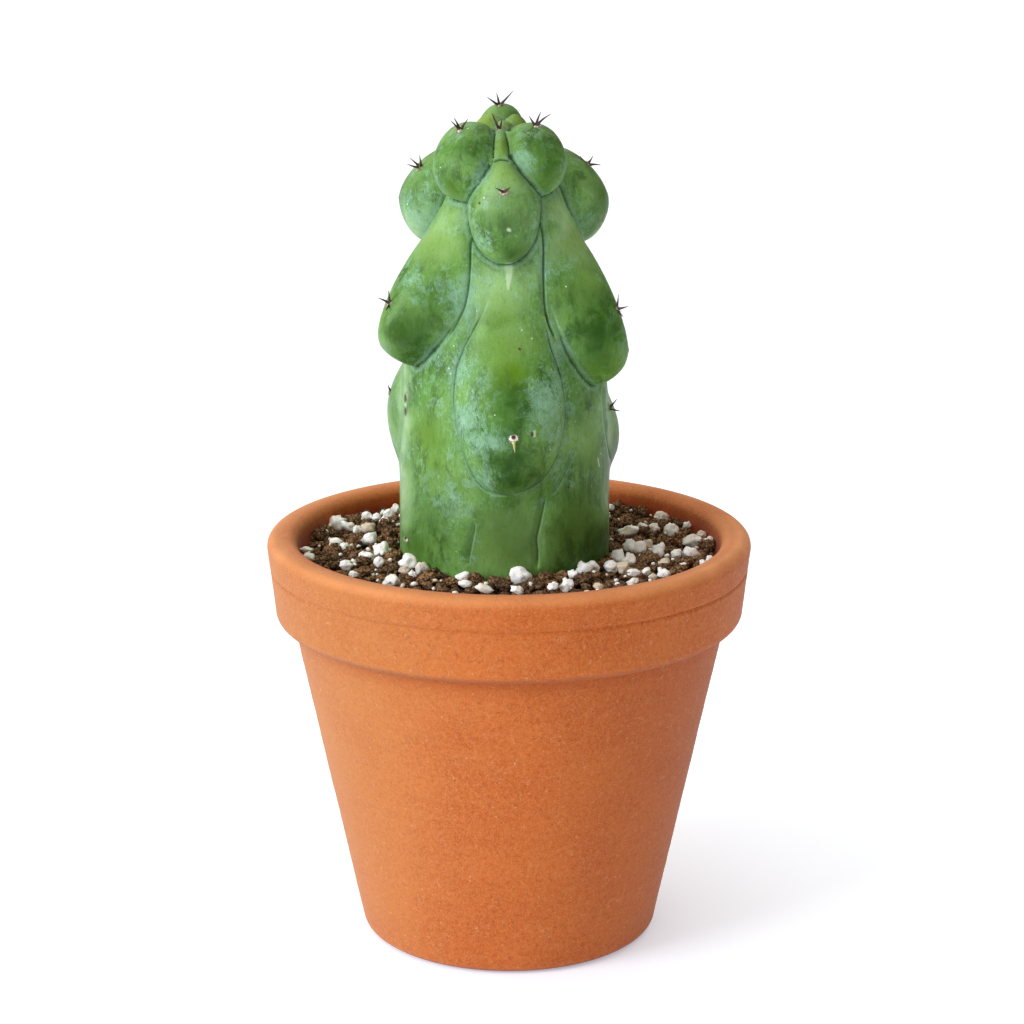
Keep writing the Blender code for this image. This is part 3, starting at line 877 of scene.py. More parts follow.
def nearestTwo(place):
    # distance, normal and name of each of the two growths nearest to a place, the sine of the angle between
    # them, and how far along the skin they meet
    first, second = None, None
    for name, surface in surfaces.items():
        found, normal = surface.find_nearest(place, stem["reach"])[:2]
        if found is None:
            continue
        entry = ((place - found).dot(normal), normal, name)
        if first is None or entry[0] < first[0]:
            first, second = entry, first
        elif second is None or entry[0] < second[0]:
            second = entry
    if second is None:
        return first, None, 0.0, stem["reach"]
    slant = first[1].cross(second[1]).length
    return first, second, slant, (second[0] - first[0]) / max(slant, stem["leastSlant"])


def isFlankFold(first, second):
    pair = {first[2], second[2]}
    return "core" in pair and bool(pair & {"flankLeft", "flankRight"})


def creaseNear(place):
    # how far along the skin the nearest crease between two growths lies, and how steep it is
    first, second, slant, away = nearestTwo(place)
    if second is None:
        return away, 0.0
    start, full = stem["creaseSlant"]
    steep = clamped((slant - start) / (full - start))
    if isFlankFold(first, second) and place.y < 0.0:
        # drawn folds take over above the flanks' free ends
        steep *= clamped(1.0 - (place.z - stem["hangsBelow"]) / stem["easeFade"])
    if "tipFront" in (first[2], second[2]) and place.z < stem["stripTop"]:
        steep = 0.0
    return away, steep


def refineSkin(band):
    # faces near a crease, a fold or a mark are halved
    mesh = skin.data
    near = []
    for vertex in mesh.vertices:
        distance, steep = creaseNear(vertex.co)
        drawn = min(strokes.nearest(vertex.co)[0] for strokes in (foldStrokes, scarStrokes, corkStrokes))
        near.append(drawn < band or (steep > 0.0 and distance < band))
    pickUp(skin)
    for parts in (mesh.vertices, mesh.edges):
        for part in parts:
            part.select = False
    for face in mesh.polygons:
        face.select = any(near[n] for n in face.vertices)
    bpy.ops.object.mode_set(mode="EDIT")
    bpy.ops.mesh.select_mode(type="FACE")
    bpy.ops.mesh.subdivide(number_cuts=1, smoothness=0.0)
    bpy.ops.object.mode_set(mode="OBJECT")


# soft patches of colour: pixel, radius in millimetres and strength
patches = {
    # deep is deep green and painted shade, on the shaded right and under the belly
    "deep": [(412, 333, 9, 0.9), (432, 318, 8, 0.7), (600, 335, 9, 1.0), (588, 305, 9, 0.7),
             (514, 255, 5, 0.85), (512, 378, 3.5, 0.3), (545, 150, 5, 0.5), (414, 186, 6, 0.3),
             (430, 495, 7, 0.35), (428, 425, 6, 0.3), (578, 520, 11, 0.55), (596, 545, 8, 0.9),
             (430, 522, 8, 0.6), (504, 222, 5, 0.7), (514, 402, 6, 0.8), (512, 430, 6, 0.6),
             (509, 478, 3.5, 1.0), (505, 462, 5, 0.8), (522, 470, 6, 0.6), (391, 412, 6, 0.5),
             (603, 195, 7, 0.65), (451, 184, 4, 0.6), (548, 172, 5, 0.6), (470, 150, 6, 0.5),
             (440, 212, 4, 0.3), (505, 535, 9, 0.6), (517, 455, 3.5, 0.8), (418, 548, 6, 0.7),
             (585, 415, 6, 0.4), (507, 248, 3, 0.6)],
    "yellow": [(513, 373, 5, 1.0), (508, 345, 7, 0.7), (506, 554, 4.5, 0.9), (440, 246, 8, 0.65),
               (570, 238, 7, 0.7), (427, 436, 7, 0.7), (592, 452, 6, 0.5), (500, 318, 6, 0.7),
               (452, 187, 2.5, 0.8), (546, 180, 3, 0.7), (505, 146, 3, 0.6), (588, 280, 6, 0.5),
               (398, 332, 3, 0.5), (608, 365, 4, 0.7), (434, 460, 5, 0.5), (560, 530, 5, 0.5),
               (578, 515, 8, 0.6), (500, 547, 8, 0.6), (420, 560, 6, 0.4), (476, 118, 3, 0.5),
               (506, 172, 4, 0.7), (615, 208, 4, 0.4)],
    "bloom": [(537, 400, 7.5, 1.0), (470, 420, 6, 0.7), (492, 478, 6, 0.8), (448, 508, 7, 1.0),
              (455, 300, 7, 0.8), (430, 350, 5, 0.9), (617, 330, 4.5, 0.8), (481, 244, 4, 0.7),
              (530, 238, 4, 0.5), (482, 172, 3.5, 0.7), (524, 160, 4, 0.9), (414, 208, 8, 0.6),
              (545, 262, 5, 0.5), (485, 440, 6, 0.7), (462, 372, 6, 0.6), (488, 385, 6, 0.4),
              (410, 520, 5, 0.6), (560, 350, 4, 0.6), (440, 330, 6, 0.5), (475, 545, 5, 0.4),
              (545, 540, 3, 0.4), (498, 440, 5, 1.0), (590, 478, 4, 0.3), (575, 300, 3, 0.4),
              (590, 215, 5, 0.5), (409, 280, 4, 0.5), (391, 405, 6, 0.6), (390, 430, 5, 0.5),
              (418, 196, 6, 0.5), (565, 228, 5, 0.25)],
    # light is lighter green and painted light where the stem is lit
    "light": [(504, 176, 6, 0.9), (437, 232, 9, 0.75), (500, 292, 10, 0.8), (568, 224, 8, 0.9),
              (573, 240, 7, 0.75), (590, 195, 5, 0.35), (511, 335, 7, 0.5), (405, 430, 5, 0.45),
              (455, 128, 5, 0.3), (400, 400, 5, 0.5), (612, 430, 5, 0.5), (405, 490, 6, 0.5),
              (607, 500, 5, 0.5), (480, 330, 4, 0.5), (505, 212, 6, 0.5), (590, 275, 6, 0.4),
              (505, 545, 9, 0.75), (585, 440, 6, 0.4), (488, 560, 6, 0.5), (500, 112, 5, 0.5),
              (418, 188, 7, 0.2)],
    # pale is paler wax and a painted highlight, mostly along the stem's edges
    "pale": [(405, 372, 3, 0.8), (405, 392, 3, 0.8), (406, 420, 3, 0.7), (403, 446, 3.5, 0.8),
             (402, 472, 3.5, 0.8), (404, 500, 4, 0.8), (405, 522, 3, 0.6), (606, 405, 2.5, 0.6),
             (609, 436, 3, 0.7), (611, 470, 3, 0.6), (464, 215, 2.5, 0.5), (447, 238, 5, 0.2),
             (384, 345, 3, 0.5), (624, 355, 3, 0.4), (487, 200, 2.5, 0.4), (569, 236, 7, 0.75),
             (560, 215, 4, 0.5)],
}

# on the sides and the back the patches fall by chance: how many of each, and their ranges in millimetres
scatter = {
    "deep": 16,
    "yellow": 16,
    "bloom": 26,
    "light": 12,
    "pale": 8,
    "heights": (122.0, 255.0),
    "size": (3.5, 9.0),
    "strength": (0.4, 0.9),
    "foremost": -4.0 * mm,
    "seed": 11,
}

# how strongly and over what distance the patches' edges wander
raggedness = [(0.5, 7.0 * mm), (0.25, 2.6 * mm)]

# growths that are still a young, yellowish green, and how much so
youngPlaces = [("tipLeft", 1.0), ("tipRight", 1.0), ("tipFront", 0.55), ("crownBack", 0.12)]


def scatteredPatches(kind, dice):
    # places on the skin that the photograph doesn't show
    made = []
    while len(made) < scatter[kind]:
        turn = dice.uniform(0.0, math.tau)
        height = dice.uniform(*scatter["heights"]) * mm
        out = polar(1.0, turn)
        centre = Vector((stem["centre"].x, 0.0, height))
        place = skinSurface.ray_cast(centre + out * 0.1, -out)[0]
        if place is not None and place.y > scatter["foremost"]:
            made.append((place, dice.uniform(*scatter["size"]), dice.uniform(*scatter["strength"])))
    return made


def paintPatches(places):
    # each patch fades outwards, with a ragged edge
    dice = random.Random(scatter["seed"])
    ragged = np.array([1.0 + sum(share * noise.noise(Vector(place) / size) for share, size in raggedness)
                       for place in places])
    painted = {}
    for kind, drawn in patches.items():
        spots = [(onSkin((x, y))[0], size, strength) for x, y, size, strength in drawn]
        spots += scatteredPatches(kind, dice)
        total = np.zeros(len(places))
        for place, size, strength in spots:
            away = np.linalg.norm(places - np.array(place), axis=1) / (size * mm)
            total = np.maximum(total, strength * np.exp(-(away * ragged) ** 2 * 0.9))
        painted[kind] = total
    return painted


def toPixel(place):
    # where the photograph shows a place
    local = Matrix.Rotation(-cameraTilt, 3, "X") @ (place - eye)
    half = camera["picture"] / 2
    scale = -1.0 / (pixelStep * local.z)
    return half + local.x * scale, half - local.y * scale


def isInside(pixel, outline):
    inside = False
    for (ax, ay), (bx, by) in zip(outline, outline[1:] + outline[:1]):
        if (ay > pixel[1]) != (by > pixel[1]) and pixel[0] < ax + (bx - ax) * (pixel[1] - ay) / (by - ay):
            inside = not inside
    return inside


def softStep(value, low, high):
    share = clamped((value - low) / (high - low))
    return share * share * (3.0 - 2.0 * share)


def swellAt(place, normal, edges):
    # how far a place in one of the swelling forms rises
    if normal.y > -0.1:
        return 0.0
    pixel = toPixel(place)
    rise = 0.0
    for name, (outline, height, reach, rows) in swells.items():
        if isInside(pixel, outline):
            away = edges[name].nearest(place)[0] / (reach * mm)
            rise += height * mm * (1.0 - math.exp(-away)) * softStep(pixel[1], *rows)
    return rise


def markSkin():
    # creases and folds are pressed in, and each mark is kept for the finish
    mesh = skin.data
    marks = {name: [] for name in ("crease", "hollow", "scar", "cork", "young")}
    moved = []
    edges = {name: Strokes({name: (form[0] + form[0][:1], 0.0, 0.0)}) for name, form in swells.items()}
    for vertex in mesh.vertices:
        place = vertex.co
        distance, steep = creaseNear(place)
        crease = steep * math.exp(-distance / stem["creaseWidth"])
        valley = steep * math.exp(-(distance / stem["valleyWidth"]) ** 2)
        push = stem["creaseDepth"] * crease + stem["valleyDepth"] * valley
        foldAway, depth, half, share, ends = foldStrokes.nearest(place)
        across = foldAway / (half * mm)
        groove = ends * math.exp(-across * across)
        hollow = ends * math.exp(-(foldAway / stem["foldHollow"]) ** 2)
        push = max(push, depth * mm * (groove + 0.3 * hollow))
        push -= stem["foldRim"] * ends * math.exp(-((foldAway - stem["foldRimAway"]) / mm) ** 2 / 0.8)
        push -= swellAt(place, vertex.normal, edges)
        scar = scarStrokes.markAt(place, *stem["scarEdge"])
        cork = corkStrokes.markAt(place, *stem["corkEdge"])
        push -= stem["corkRise"] * cork + stem["scarRise"] * scar
        young = 0.0
        for name, amount in youngPlaces:
            gap = surfaces[name].find_nearest(place, stem["youngReach"])[3]
            if gap is not None:
                young = max(young, amount * (1.0 - gap / stem["youngReach"]))
        values = (max(crease, groove * min(1.0, 1.5 * depth)), max(valley, 0.8 * hollow), scar, cork, young)
        for name, value in zip(marks, values):
            marks[name].append(value)
        moved.append(place - vertex.normal * push)
    marks.update(paintPatches(np.array([tuple(vertex.co) for vertex in mesh.vertices])))
    for vertex, place in zip(mesh.vertices, moved):
        vertex.co = place
    paintOn(mesh, marks)
    mesh.update()


def easeSkin():
    # in front the flanks grow out of the column without a crease, down to where they hang free
    group = skin.vertex_groups.new(name="eased")
    for vertex in skin.data.vertices:
        place = vertex.co
        if place.y > 0.0 or place.z < stem["hangsBelow"]:
            continue
        first, second, slant, away = nearestTwo(place)
        if second is None or not isFlankFold(first, second):
            continue
        weight = math.exp(-(away / stem["easeReach"]) ** 2)
        weight *= clamped((place.z - stem["hangsBelow"]) / stem["easeFade"])
        group.add([vertex.index], weight, "REPLACE")
    modify(skin, "SMOOTH", factor=0.5, iterations=stem["easeRounds"], vertex_group=group.name)
    skin.vertex_groups.clear()


print("stem: folds and marks")
easeSkin()
for band in stem["creaseBands"]:
    refineSkin(band)
markSkin()
skinSurface = surfaceOf(skin)


# Skin finish

def skinFinish():
    wax = Finish("waxySkin")
    broad = wax.grain(17 * mm, 3.0, 0.5, 0.6)
    cloud = wax.grain(6 * mm, 6.0, 0.62, 0.5, (1.0, 1.0, 0.6))
    mottle = wax.grain(1.5 * mm, 5.0, 0.65, 0.6)
    fine = wax.grain(0.45 * mm, 3.0, 0.6)
    wisps = wax.grain(3.4 * mm, 8.0, 0.72, 3.2, (1.0, 1.0, 0.7))
    veil = wax.grain(8.5 * mm, 7.0, 0.7, 2.2)
    streak = wax.grain(0.8 * mm, 5.0, 0.65, 0.8, (1.0, 1.0, 0.25))
    feather = wax.grain(0.7 * mm, 5.0, 0.7, 1.8, (1.0, 1.0, 0.45))
    crease, hollow, deep, yellow = (wax.mark(name) for name in ("crease", "hollow", "deep", "yellow"))
    colour = wax.coats(stem["green"], [
        (broad, 0.35, 0.68, 0.65, stem["greenLight"]),
        (cloud, 0.56, 0.34, 0.75, stem["greenDeep"]),
    ])
    # painted light: lighter green where the stem is lit, then paler wax with a painted highlight along its
    # edges
    colour = wax.lay(colour, (0.350, 0.570, 0.220), wax.mark("light"))
    colour = wax.lay(colour, (0.400, 0.530, 0.300), wax.mark("pale"),
                     wax.between(cloud, 0.3, 0.6, 0.45, 0.85))
    colour = wax.lay(colour, stem["greenYoung"], wax.mark("young"))
    # the bluish wax lies in torn patches, thickest where it was painted and along the creases
    cover = wax.sum(wax.times(wax.mark("bloom"), 0.32), wax.times(hollow, 0.15))
    cover = wax.sum(cover, wax.times(wax.sum(deep, yellow, "MAXIMUM"), -0.30))
    cover = wax.sum(cover, wax.between(wax.along("Z"), 165 * mm, 125 * mm, 0.0, -0.13))
    torn = wax.between(wax.sum(wisps, cover), 0.62, 0.72)
    broken = wax.between(feather, 0.36, 0.60, 0.30, 1.0)
    for size, ragged, share in ((2.6 * mm, 1.0, 0.80), (0.9 * mm, 0.8, 0.50)):
        scale, edge = wax.flakes(size, ragged)
        flake = wax.between(wax.sum(scale, wax.times(cover, 1.05)), 0.70, 0.80, 0.0, share)
        flake = wax.times(wax.times(flake, broken), wax.between(edge, 0.015, 0.05))
        torn = wax.sum(torn, flake, "MAXIMUM")
    film = wax.sum(veil, wax.times(cover, 0.8))
    colour = wax.coats(colour, [(film, 0.52, 0.80, 0.40, (0.175, 0.350, 0.190))])
    colour = wax.lay(colour, stem["wax"], torn, wax.between(mottle, 0.25, 0.6, 0.34, 0.78))
    colour = wax.coats(colour, [
        (mottle, 0.38, 0.70, 0.26, (0.240, 0.400, 0.085)),
        (streak, 0.55, 0.68, 0.24, (0.330, 0.510, 0.220)),
        (streak, 0.47, 0.34, 0.32, (0.030, 0.100, 0.012)),
    ])
    # fine curved scratches in the wax, in sheaves
    for size, tall, low in ((2.4 * mm, 0.40, 0.50), (1.5 * mm, 0.70, 0.54)):
        line = wax.threads(wax.grain(size, 2.0, 0.5, 1.4, (1.0, 1.0, tall)), 0.022, 0.006)
        sheaf = wax.sum(wax.grain(4.5 * mm, 3.0, 0.6, 0.8), wax.times(cover, 0.5))
        colour = wax.lay(colour, (0.330, 0.540, 0.390), line, wax.between(sheaf, low, low + 0.12, 0.0, 0.55))
    colour = wax.lay(colour, stem["greenYellow"], yellow, wax.between(cloud, 0.25, 0.6, 0.5, 0.95))
    # deep green, with painted shade on the shaded side and under the belly
    colour = wax.lay(colour, stem["greenDeep"], deep, wax.between(cloud, 0.75, 0.3, 0.72, 0.98))
    colour = wax.coats(colour, [(fine, 0.45, 0.25, 0.40, (0.035, 0.105, 0.015))])
    near, tint = wax.dots(4.2 * mm)
    colour = wax.lay(colour, (0.75, 0.80, 0.62), wax.between(near, 0.075, 0.035),
                     wax.between(tint, 0.60, 0.64, 0.0, 0.85))
    colour = wax.lay(colour, (0.52, 0.67, 0.40), wax.mark("scar"), 0.72)
    colour = wax.lay(colour, (0.070, 0.030, 0.012), wax.mark("cork"))
    # painted shade: each crease is a thin dark line in a painted shaded valley, between pale wax rims with a
    # painted highlight
    colour = wax.lay(colour, (0.045, 0.135, 0.040), hollow, 0.30)
    colour = wax.lay(colour, (0.320, 0.520, 0.300), wax.between(crease, 0.02, 0.12),
                     wax.between(crease, 0.45, 0.22, 0.0, 0.22))
    colour = wax.coats(colour, [(crease, 0.40, 0.95, 0.78, (0.013, 0.050, 0.010))])
    rough = wax.sum(wax.times(torn, 0.16), wax.between(mottle, 0.3, 0.7, 0.34, 0.46))
    height = wax.sum(wax.times(mottle, 0.5), wax.times(torn, 0.25))
    normal = wax.relief(fine, 0.03 * mm, 0.5, wax.relief(height, 0.12 * mm, 0.45))
    return wax.done(colour, rough, normal, Sheen_Weight=0.06, Sheen_Roughness=0.20, Specular_IOR_Level=0.12)


print("stem: finish")
skin.data.materials.clear()  # the unions leave an empty slot
for face in skin.data.polygons:
    face.material_index = 0
    face.use_smooth = True
ridesPot(skin, skinFinish(), "skin", "cactus_stem")


# The potting mix: a dark bed with crumbs of peat and bark and grains of perlite on it

mix = {
    "bottom": 8.8 * mm,
    "bottomRadius": 40.1 * mm,
    "wallGap": 0.4 * mm,  # from the pot's wall to the bed, to the seen pieces and to the strewn ones
    "seenGap": 0.35 * mm,
    "strewnGap": 0.1 * mm,
    "top": 119.2 * mm,
    "holeRadius": 33.4 * mm,
    "holeFloor": 97.7 * mm,
    "unevenness": 1.0 * mm,
    "ringSteps": (8 * mm, 2.5 * mm),  # between the bed's rings, on its side and its top
    "sides": 120,
    "surface": 121.6 * mm,  # where the upper crumbs' middles lie
    "stemFoot": 32.8 * mm,  # the stem's radius where it leaves the mix
    "heap": 2.0 * mm,  # how much higher the mix lies in front of the stem, how far out that is, and how wide
    "heapFront": 38 * mm,
    "heapReach": (34 * mm, 14 * mm),
    "waves": 1.0 * mm,  # how much the surface rises and falls, and over what distance
    "waveLength": 24 * mm,
    "ring": (29 * mm, 67 * mm),  # where pieces are strewn, and from where on they lie behind the stem
    "behind": 14 * mm,
    "crumbs": 620,
    "underCrumbs": 300,
    "grains": 60,
    "scraps": 150,
    "seed": 29,
}

# clods of peat and bark seen in the photograph: pixel of the middle, width and height in pixels
seenClods = [
    (312, 536, 17, 13), (323, 531, 14, 12), (334, 536, 14, 12), (353, 521, 17, 12), (348, 514, 11, 8),
    (333, 553, 16, 17), (354, 545, 15, 14), (351, 553, 14, 12), (363, 562, 14, 10), (394, 558, 16, 13),
    (392, 545, 14, 12), (383, 529, 15, 15), (391, 534, 15, 14), (394, 571, 14, 13), (345, 564, 13, 9),
    (322, 561, 15, 10), (362, 573, 14, 10), (407, 579, 14, 8), (318, 546, 14, 8), (331, 566, 14, 8),
    (360, 514, 12, 8), (375, 509, 12, 8), (620, 507, 16, 11), (632, 510, 14, 10), (644, 513, 14, 12),
    (630, 519, 13, 10), (617, 526, 12, 10), (618, 541, 14, 10), (644, 533, 14, 12), (660, 532, 10, 13),
    (666, 543, 15, 15), (680, 541, 16, 15), (683, 533, 12, 9), (675, 523, 12, 8), (686, 524, 12, 8),
    (708, 548, 18, 14), (717, 546, 10, 11), (648, 562, 28, 16), (636, 575, 26, 9), (666, 567, 14, 10),
    (686, 562, 18, 9), (679, 569, 14, 8), (616, 551, 14, 10), (604, 560, 11, 12), (699, 560, 12, 8),
    (440, 571, 18, 9), (426, 579, 24, 10), (475, 581, 20, 12), (498, 579, 18, 9), (505, 586, 16, 8),
    (543, 579, 16, 13), (538, 585, 20, 10), (559, 576, 20, 9), (585, 580, 18, 13), (600, 565, 12, 13),
    (405, 586, 12, 8), (452, 583, 14, 8), (456, 572, 14, 8), (528, 572, 16, 8),
]

# perlite seen in the photograph: pixel of its middle, width and height in pixels
seenGrains = [
    (336, 523, 17, 14), (367, 516, 9, 8), (376, 517, 8, 7), (396, 509, 9, 9), (389, 514, 11, 9),
    (384, 521, 10, 9), (348, 526, 13, 8), (357, 530, 9, 8), (368, 529, 14, 12), (370, 539, 15, 11),
    (336, 544, 13, 12), (344, 549, 10, 12), (381, 550, 15, 13), (306, 550, 14, 6), (307, 558, 14, 8),
    (367, 557, 15, 11), (346, 565, 13, 9), (379, 562, 9, 10), (353, 574, 9, 6), (392, 581, 18, 9),
    (405, 571, 12, 8), (412, 575, 10, 8), (420, 562, 20, 16), (430, 567, 14, 13), (463, 577, 14, 10),
    (466, 584, 13, 7), (485, 589, 17, 7), (520, 577, 20, 19), (517, 590, 13, 7), (553, 587, 11, 7),
    (567, 586, 14, 11), (577, 568, 15, 14), (572, 575, 12, 9), (592, 568, 12, 15), (598, 586, 10, 6),
    (618, 557, 16, 14), (612, 567, 15, 12), (623, 568, 14, 13), (629, 561, 12, 13), (633, 573, 14, 7),
    (646, 572, 11, 7), (630, 547, 12, 14), (640, 548, 13, 14), (648, 546, 11, 14), (658, 551, 12, 14),
    (611, 508, 7, 7), (629, 532, 19, 11), (643, 528, 11, 10), (654, 529, 11, 11), (671, 531, 13, 14),
    (662, 516, 14, 9), (688, 525, 9, 6), (704, 535, 10, 9), (692, 541, 20, 11), (712, 541, 11, 8),
    (690, 554, 17, 14), (676, 555, 10, 11), (665, 563, 11, 9), (710, 559, 7, 7), (703, 563, 7, 6),
    (664, 574, 13, 8), (653, 577, 9, 6), (633, 582, 11, 6),
]


def makeBed():
    top = mix["top"]
    outer = innerRadius(top) - mix["wallGap"]
    foot = (mix["bottomRadius"], mix["bottom"])
    brow = (outer, top)
    lip = (mix["holeRadius"], top)
    sideStep, topStep = mix["ringSteps"]
    outline = [foot] + wall(foot, brow, sideStep) + [brow] + wall(brow, lip, topStep)
    outline += [lip, (mix["holeRadius"], mix["holeFloor"])]
    bed = turnRings("mixBed", outline, mix["sides"])
    for vertex in bed.data.vertices:
        if vertex.co.z > top - 0.1 * mm:
            lift = noise.noise(vertex.co / (6 * mm)) + 0.5 * noise.noise(vertex.co / (2.5 * mm))
            vertex.co.z += mix["unevenness"] * lift
    bed.data.update()
    smoothShade(bed, 35.0)
    return bed


def surfaceLift(place):
    # the mix is heaped a little unevenly, and a little higher in front of the stem
    spot = Vector((place.x, place.y, 0.0)) / mix["waveLength"] + Vector((3.0, 1.0, 2.0))
    wide, deep = mix["heapReach"]
    front = math.exp(-((place.y + mix["heapFront"]) / deep) ** 2 - (place.x / wide) ** 2)
    return mix["waves"] * noise.noise(spot) + mix["heap"] * front


def makeMould(name, detail, seed, lumps, facets, squash, grit=0.0):
    # one crumb or grain of radius 1: a ball with lumps and grit, cut flat here and there
    dice = random.Random(seed)
    piece = addMesh(name, bpy.ops.mesh.primitive_ico_sphere_add, subdivisions=detail, radius=1.0)
    cuts = []
    for n in range(facets):
        around, height = dice.uniform(0.0, math.tau), dice.uniform(-0.9, 0.9)
        flat = math.sqrt(1.0 - height * height)
        cuts.append((polar(flat, around, height), dice.uniform(0.66, 0.92)))
    shift = Vector((dice.uniform(0, 50), dice.uniform(0, 50), dice.uniform(0, 50)))
    for vertex in piece.data.vertices:
        way = vertex.co.normalized()
        size = 1.0 + lumps * noise.noise(way * 1.5 + shift) + 0.6 * lumps * noise.noise(way * 3.4 + shift)
        size += grit * noise.noise(way * 9.0 + shift)
        place = way * size
        for facing, depth in cuts:
            over = place.dot(facing) - depth
            if over > 0.0:
                place -= facing * over * 0.92
        vertex.co = Vector((place.x, place.y * squash, place.z * squash))
    piece.data.update()
    return piece


def strewCopies(name, moulds, places, dice):
    # copies of the moulds joined in one mesh; each place is a mould's number and a matrix
    copies, tones = [], []
    for number, matrix in places:
        copy = moulds[number].data.copy()
        copy.transform(matrix)
        copies.append(copy)
        tones += [dice.random()] * len(copy.vertices)
    piece = joinMeshes(name, copies)
    paintOn(piece.data, {"tone": tones})
    return piece


def strewnAt(place, sizes, dice, firstTurn, secondTurn):
    # a copy's matrix: its place, a chance turn about each of two axes, and its sizes
    spin = Matrix.Identity(4)
    for least, most, axis in (firstTurn, secondTurn):
        spin = spin @ Matrix.Rotation(dice.uniform(least, most), 4, axis)
    return Matrix.Translation(place) @ spin @ Matrix.Diagonal((*sizes, 1.0))


def onMix(pixel, height):
    origin, ray = throughPixel(pixel)
    return origin + ray * ((height - origin.z) / ray.z)


def fitsInPot(place, size):
    # clear of the wall and of the stem
    radius = math.hypot(place.x, place.y)
    fromStem = math.hypot(place.x - stem["centre"].x, place.y)
    inside = radius + size < innerRadius(place.z) - mix["strewnGap"]
    return inside and fromStem > mix["stemFoot"] + 0.55 * size


def placeSeen(dice, listed, rise):
    # place, radius and matrix of each listed crumb or grain, kept clear of the wall and of the stem
    placed = []
    for x, y, wide, high in listed:
        place = onMix((x, y), mix["surface"] + rise)
        place = onMix((x, y), mix["surface"] + rise + surfaceLift(place))
        scale = (place - eye).length * pixelStep
        middle = 0.5 * (wide + high) / 2 * scale
        size = (0.54 * wide * scale, middle, 0.56 * high * scale)
        limit = innerRadius(place.z) - mix["seenGap"] - 0.5 * max(size)
        radius = math.hypot(place.x, place.y)
        if radius > limit:
            place.x, place.y = place.x * limit / radius, place.y * limit / radius
        aside = Vector((place.x - stem["centre"].x, place.y, 0.0))
        nearest = mix["stemFoot"] + 0.7 * size[0]
        if aside.length < nearest:
            aside = aside.normalized() * nearest
            place.x, place.y = stem["centre"].x + aside.x, aside.y
        placed.append((place, middle, strewnAt(place, size, dice, (-0.5, 0.5, "Y"), (-0.6, 0.6, "X"))))
    return placed


def strewLayer(dice, count, least, most, height, taken, closeness, behind):
    # a seeded fill that keeps its pieces apart
    made = []
    tries = 0
    inner, outer = mix["ring"]
    while len(made) < count and tries < count * 60:
        tries += 1
        size = least + (most - least) * dice.random() ** 1.8
        turn = dice.uniform(0.0, math.tau)
        radius = math.sqrt(dice.uniform(inner ** 2, outer ** 2))
        place = polar(radius, turn, height)
        if behind and (place.y < mix["behind"] or abs(place.x - stem["centre"].x) > mix["stemFoot"]):
            continue
        place.z += surfaceLift(place) + dice.uniform(-0.5, 0.4) * mm - 0.25 * size
        if not fitsInPot(place, size):
            continue
        if any((place - other).length < closeness * (size + reach) for other, reach in taken):
            continue
        taken.append((place, size))
        made.append((place, size))
    return made


def peatFinish(name, paleness):
    peat = Finish(name)
    lumps = peat.grain(3.4 * mm, 3.0, 0.6, 0.6)
    fibre = peat.grain(0.9 * mm, 6.0, 0.7, 1.2)
    fine = peat.grain(0.3 * mm, 4.0, 0.7)
    near = peat.dots(0.75 * mm)[0]
    tone = peat.mark("tone")
    colour = peat.coats((0.110, 0.048, 0.018), [
        (lumps, 0.35, 0.65, 1.0, (0.270, 0.135, 0.056)),
        (tone, 0.55, 0.95, 0.6, (0.380, 0.190, 0.080)),
        (tone, 0.30, 0.0, 0.65, (0.060, 0.030, 0.014)),
        (fibre, 0.46, 0.70, paleness, (0.520, 0.320, 0.165)),
        (near, 0.40, 0.68, 0.85, (0.020, 0.009, 0.004)),
        (fine, 0.55, 0.72, 0.5, (0.660, 0.480, 0.300)),
    ])
    height = peat.sum(peat.times(near, -0.8), peat.times(fibre, 0.7))
    normal = peat.relief(fine, 0.12 * mm, 0.7, peat.relief(height, 0.5 * mm, 0.8))
    return peat.done(colour, 0.9, normal, Specular_IOR_Level=0.25)


def perliteFinish():
    chalk = Finish("perlite")
    lumps = chalk.grain(4.0 * mm, 3.0, 0.5)
    dust = chalk.grain(0.5 * mm, 5.0, 0.65)
    near, tint = chalk.dots(0.8 * mm)
    pore = chalk.dots(0.42 * mm)[0]
    colour = chalk.coats((0.97, 0.955, 0.92), [
        (lumps, 0.50, 0.75, 1.0, (0.88, 0.79, 0.66)),
        (chalk.mark("tone"), 0.72, 0.92, 0.75, (0.62, 0.46, 0.28)),
        (dust, 0.54, 0.72, 0.50, (0.50, 0.38, 0.25)),
        (pore, 0.26, 0.12, 0.60, (0.50, 0.42, 0.33)),
    ])
    pits = chalk.times(chalk.between(near, 0.20, 0.08), chalk.between(tint, 0.42, 0.50))
    colour = chalk.lay(colour, (0.17, 0.12, 0.08), pits, 0.75)
    height = chalk.sum(chalk.times(pits, -1.0), chalk.times(chalk.between(pore, 0.0, 0.5), 0.35))
    normal = chalk.relief(dust, 0.08 * mm, 0.6, chalk.relief(height, 0.25 * mm, 0.8))
    return chalk.done(colour, 0.85, normal, Specular_IOR_Level=0.3)


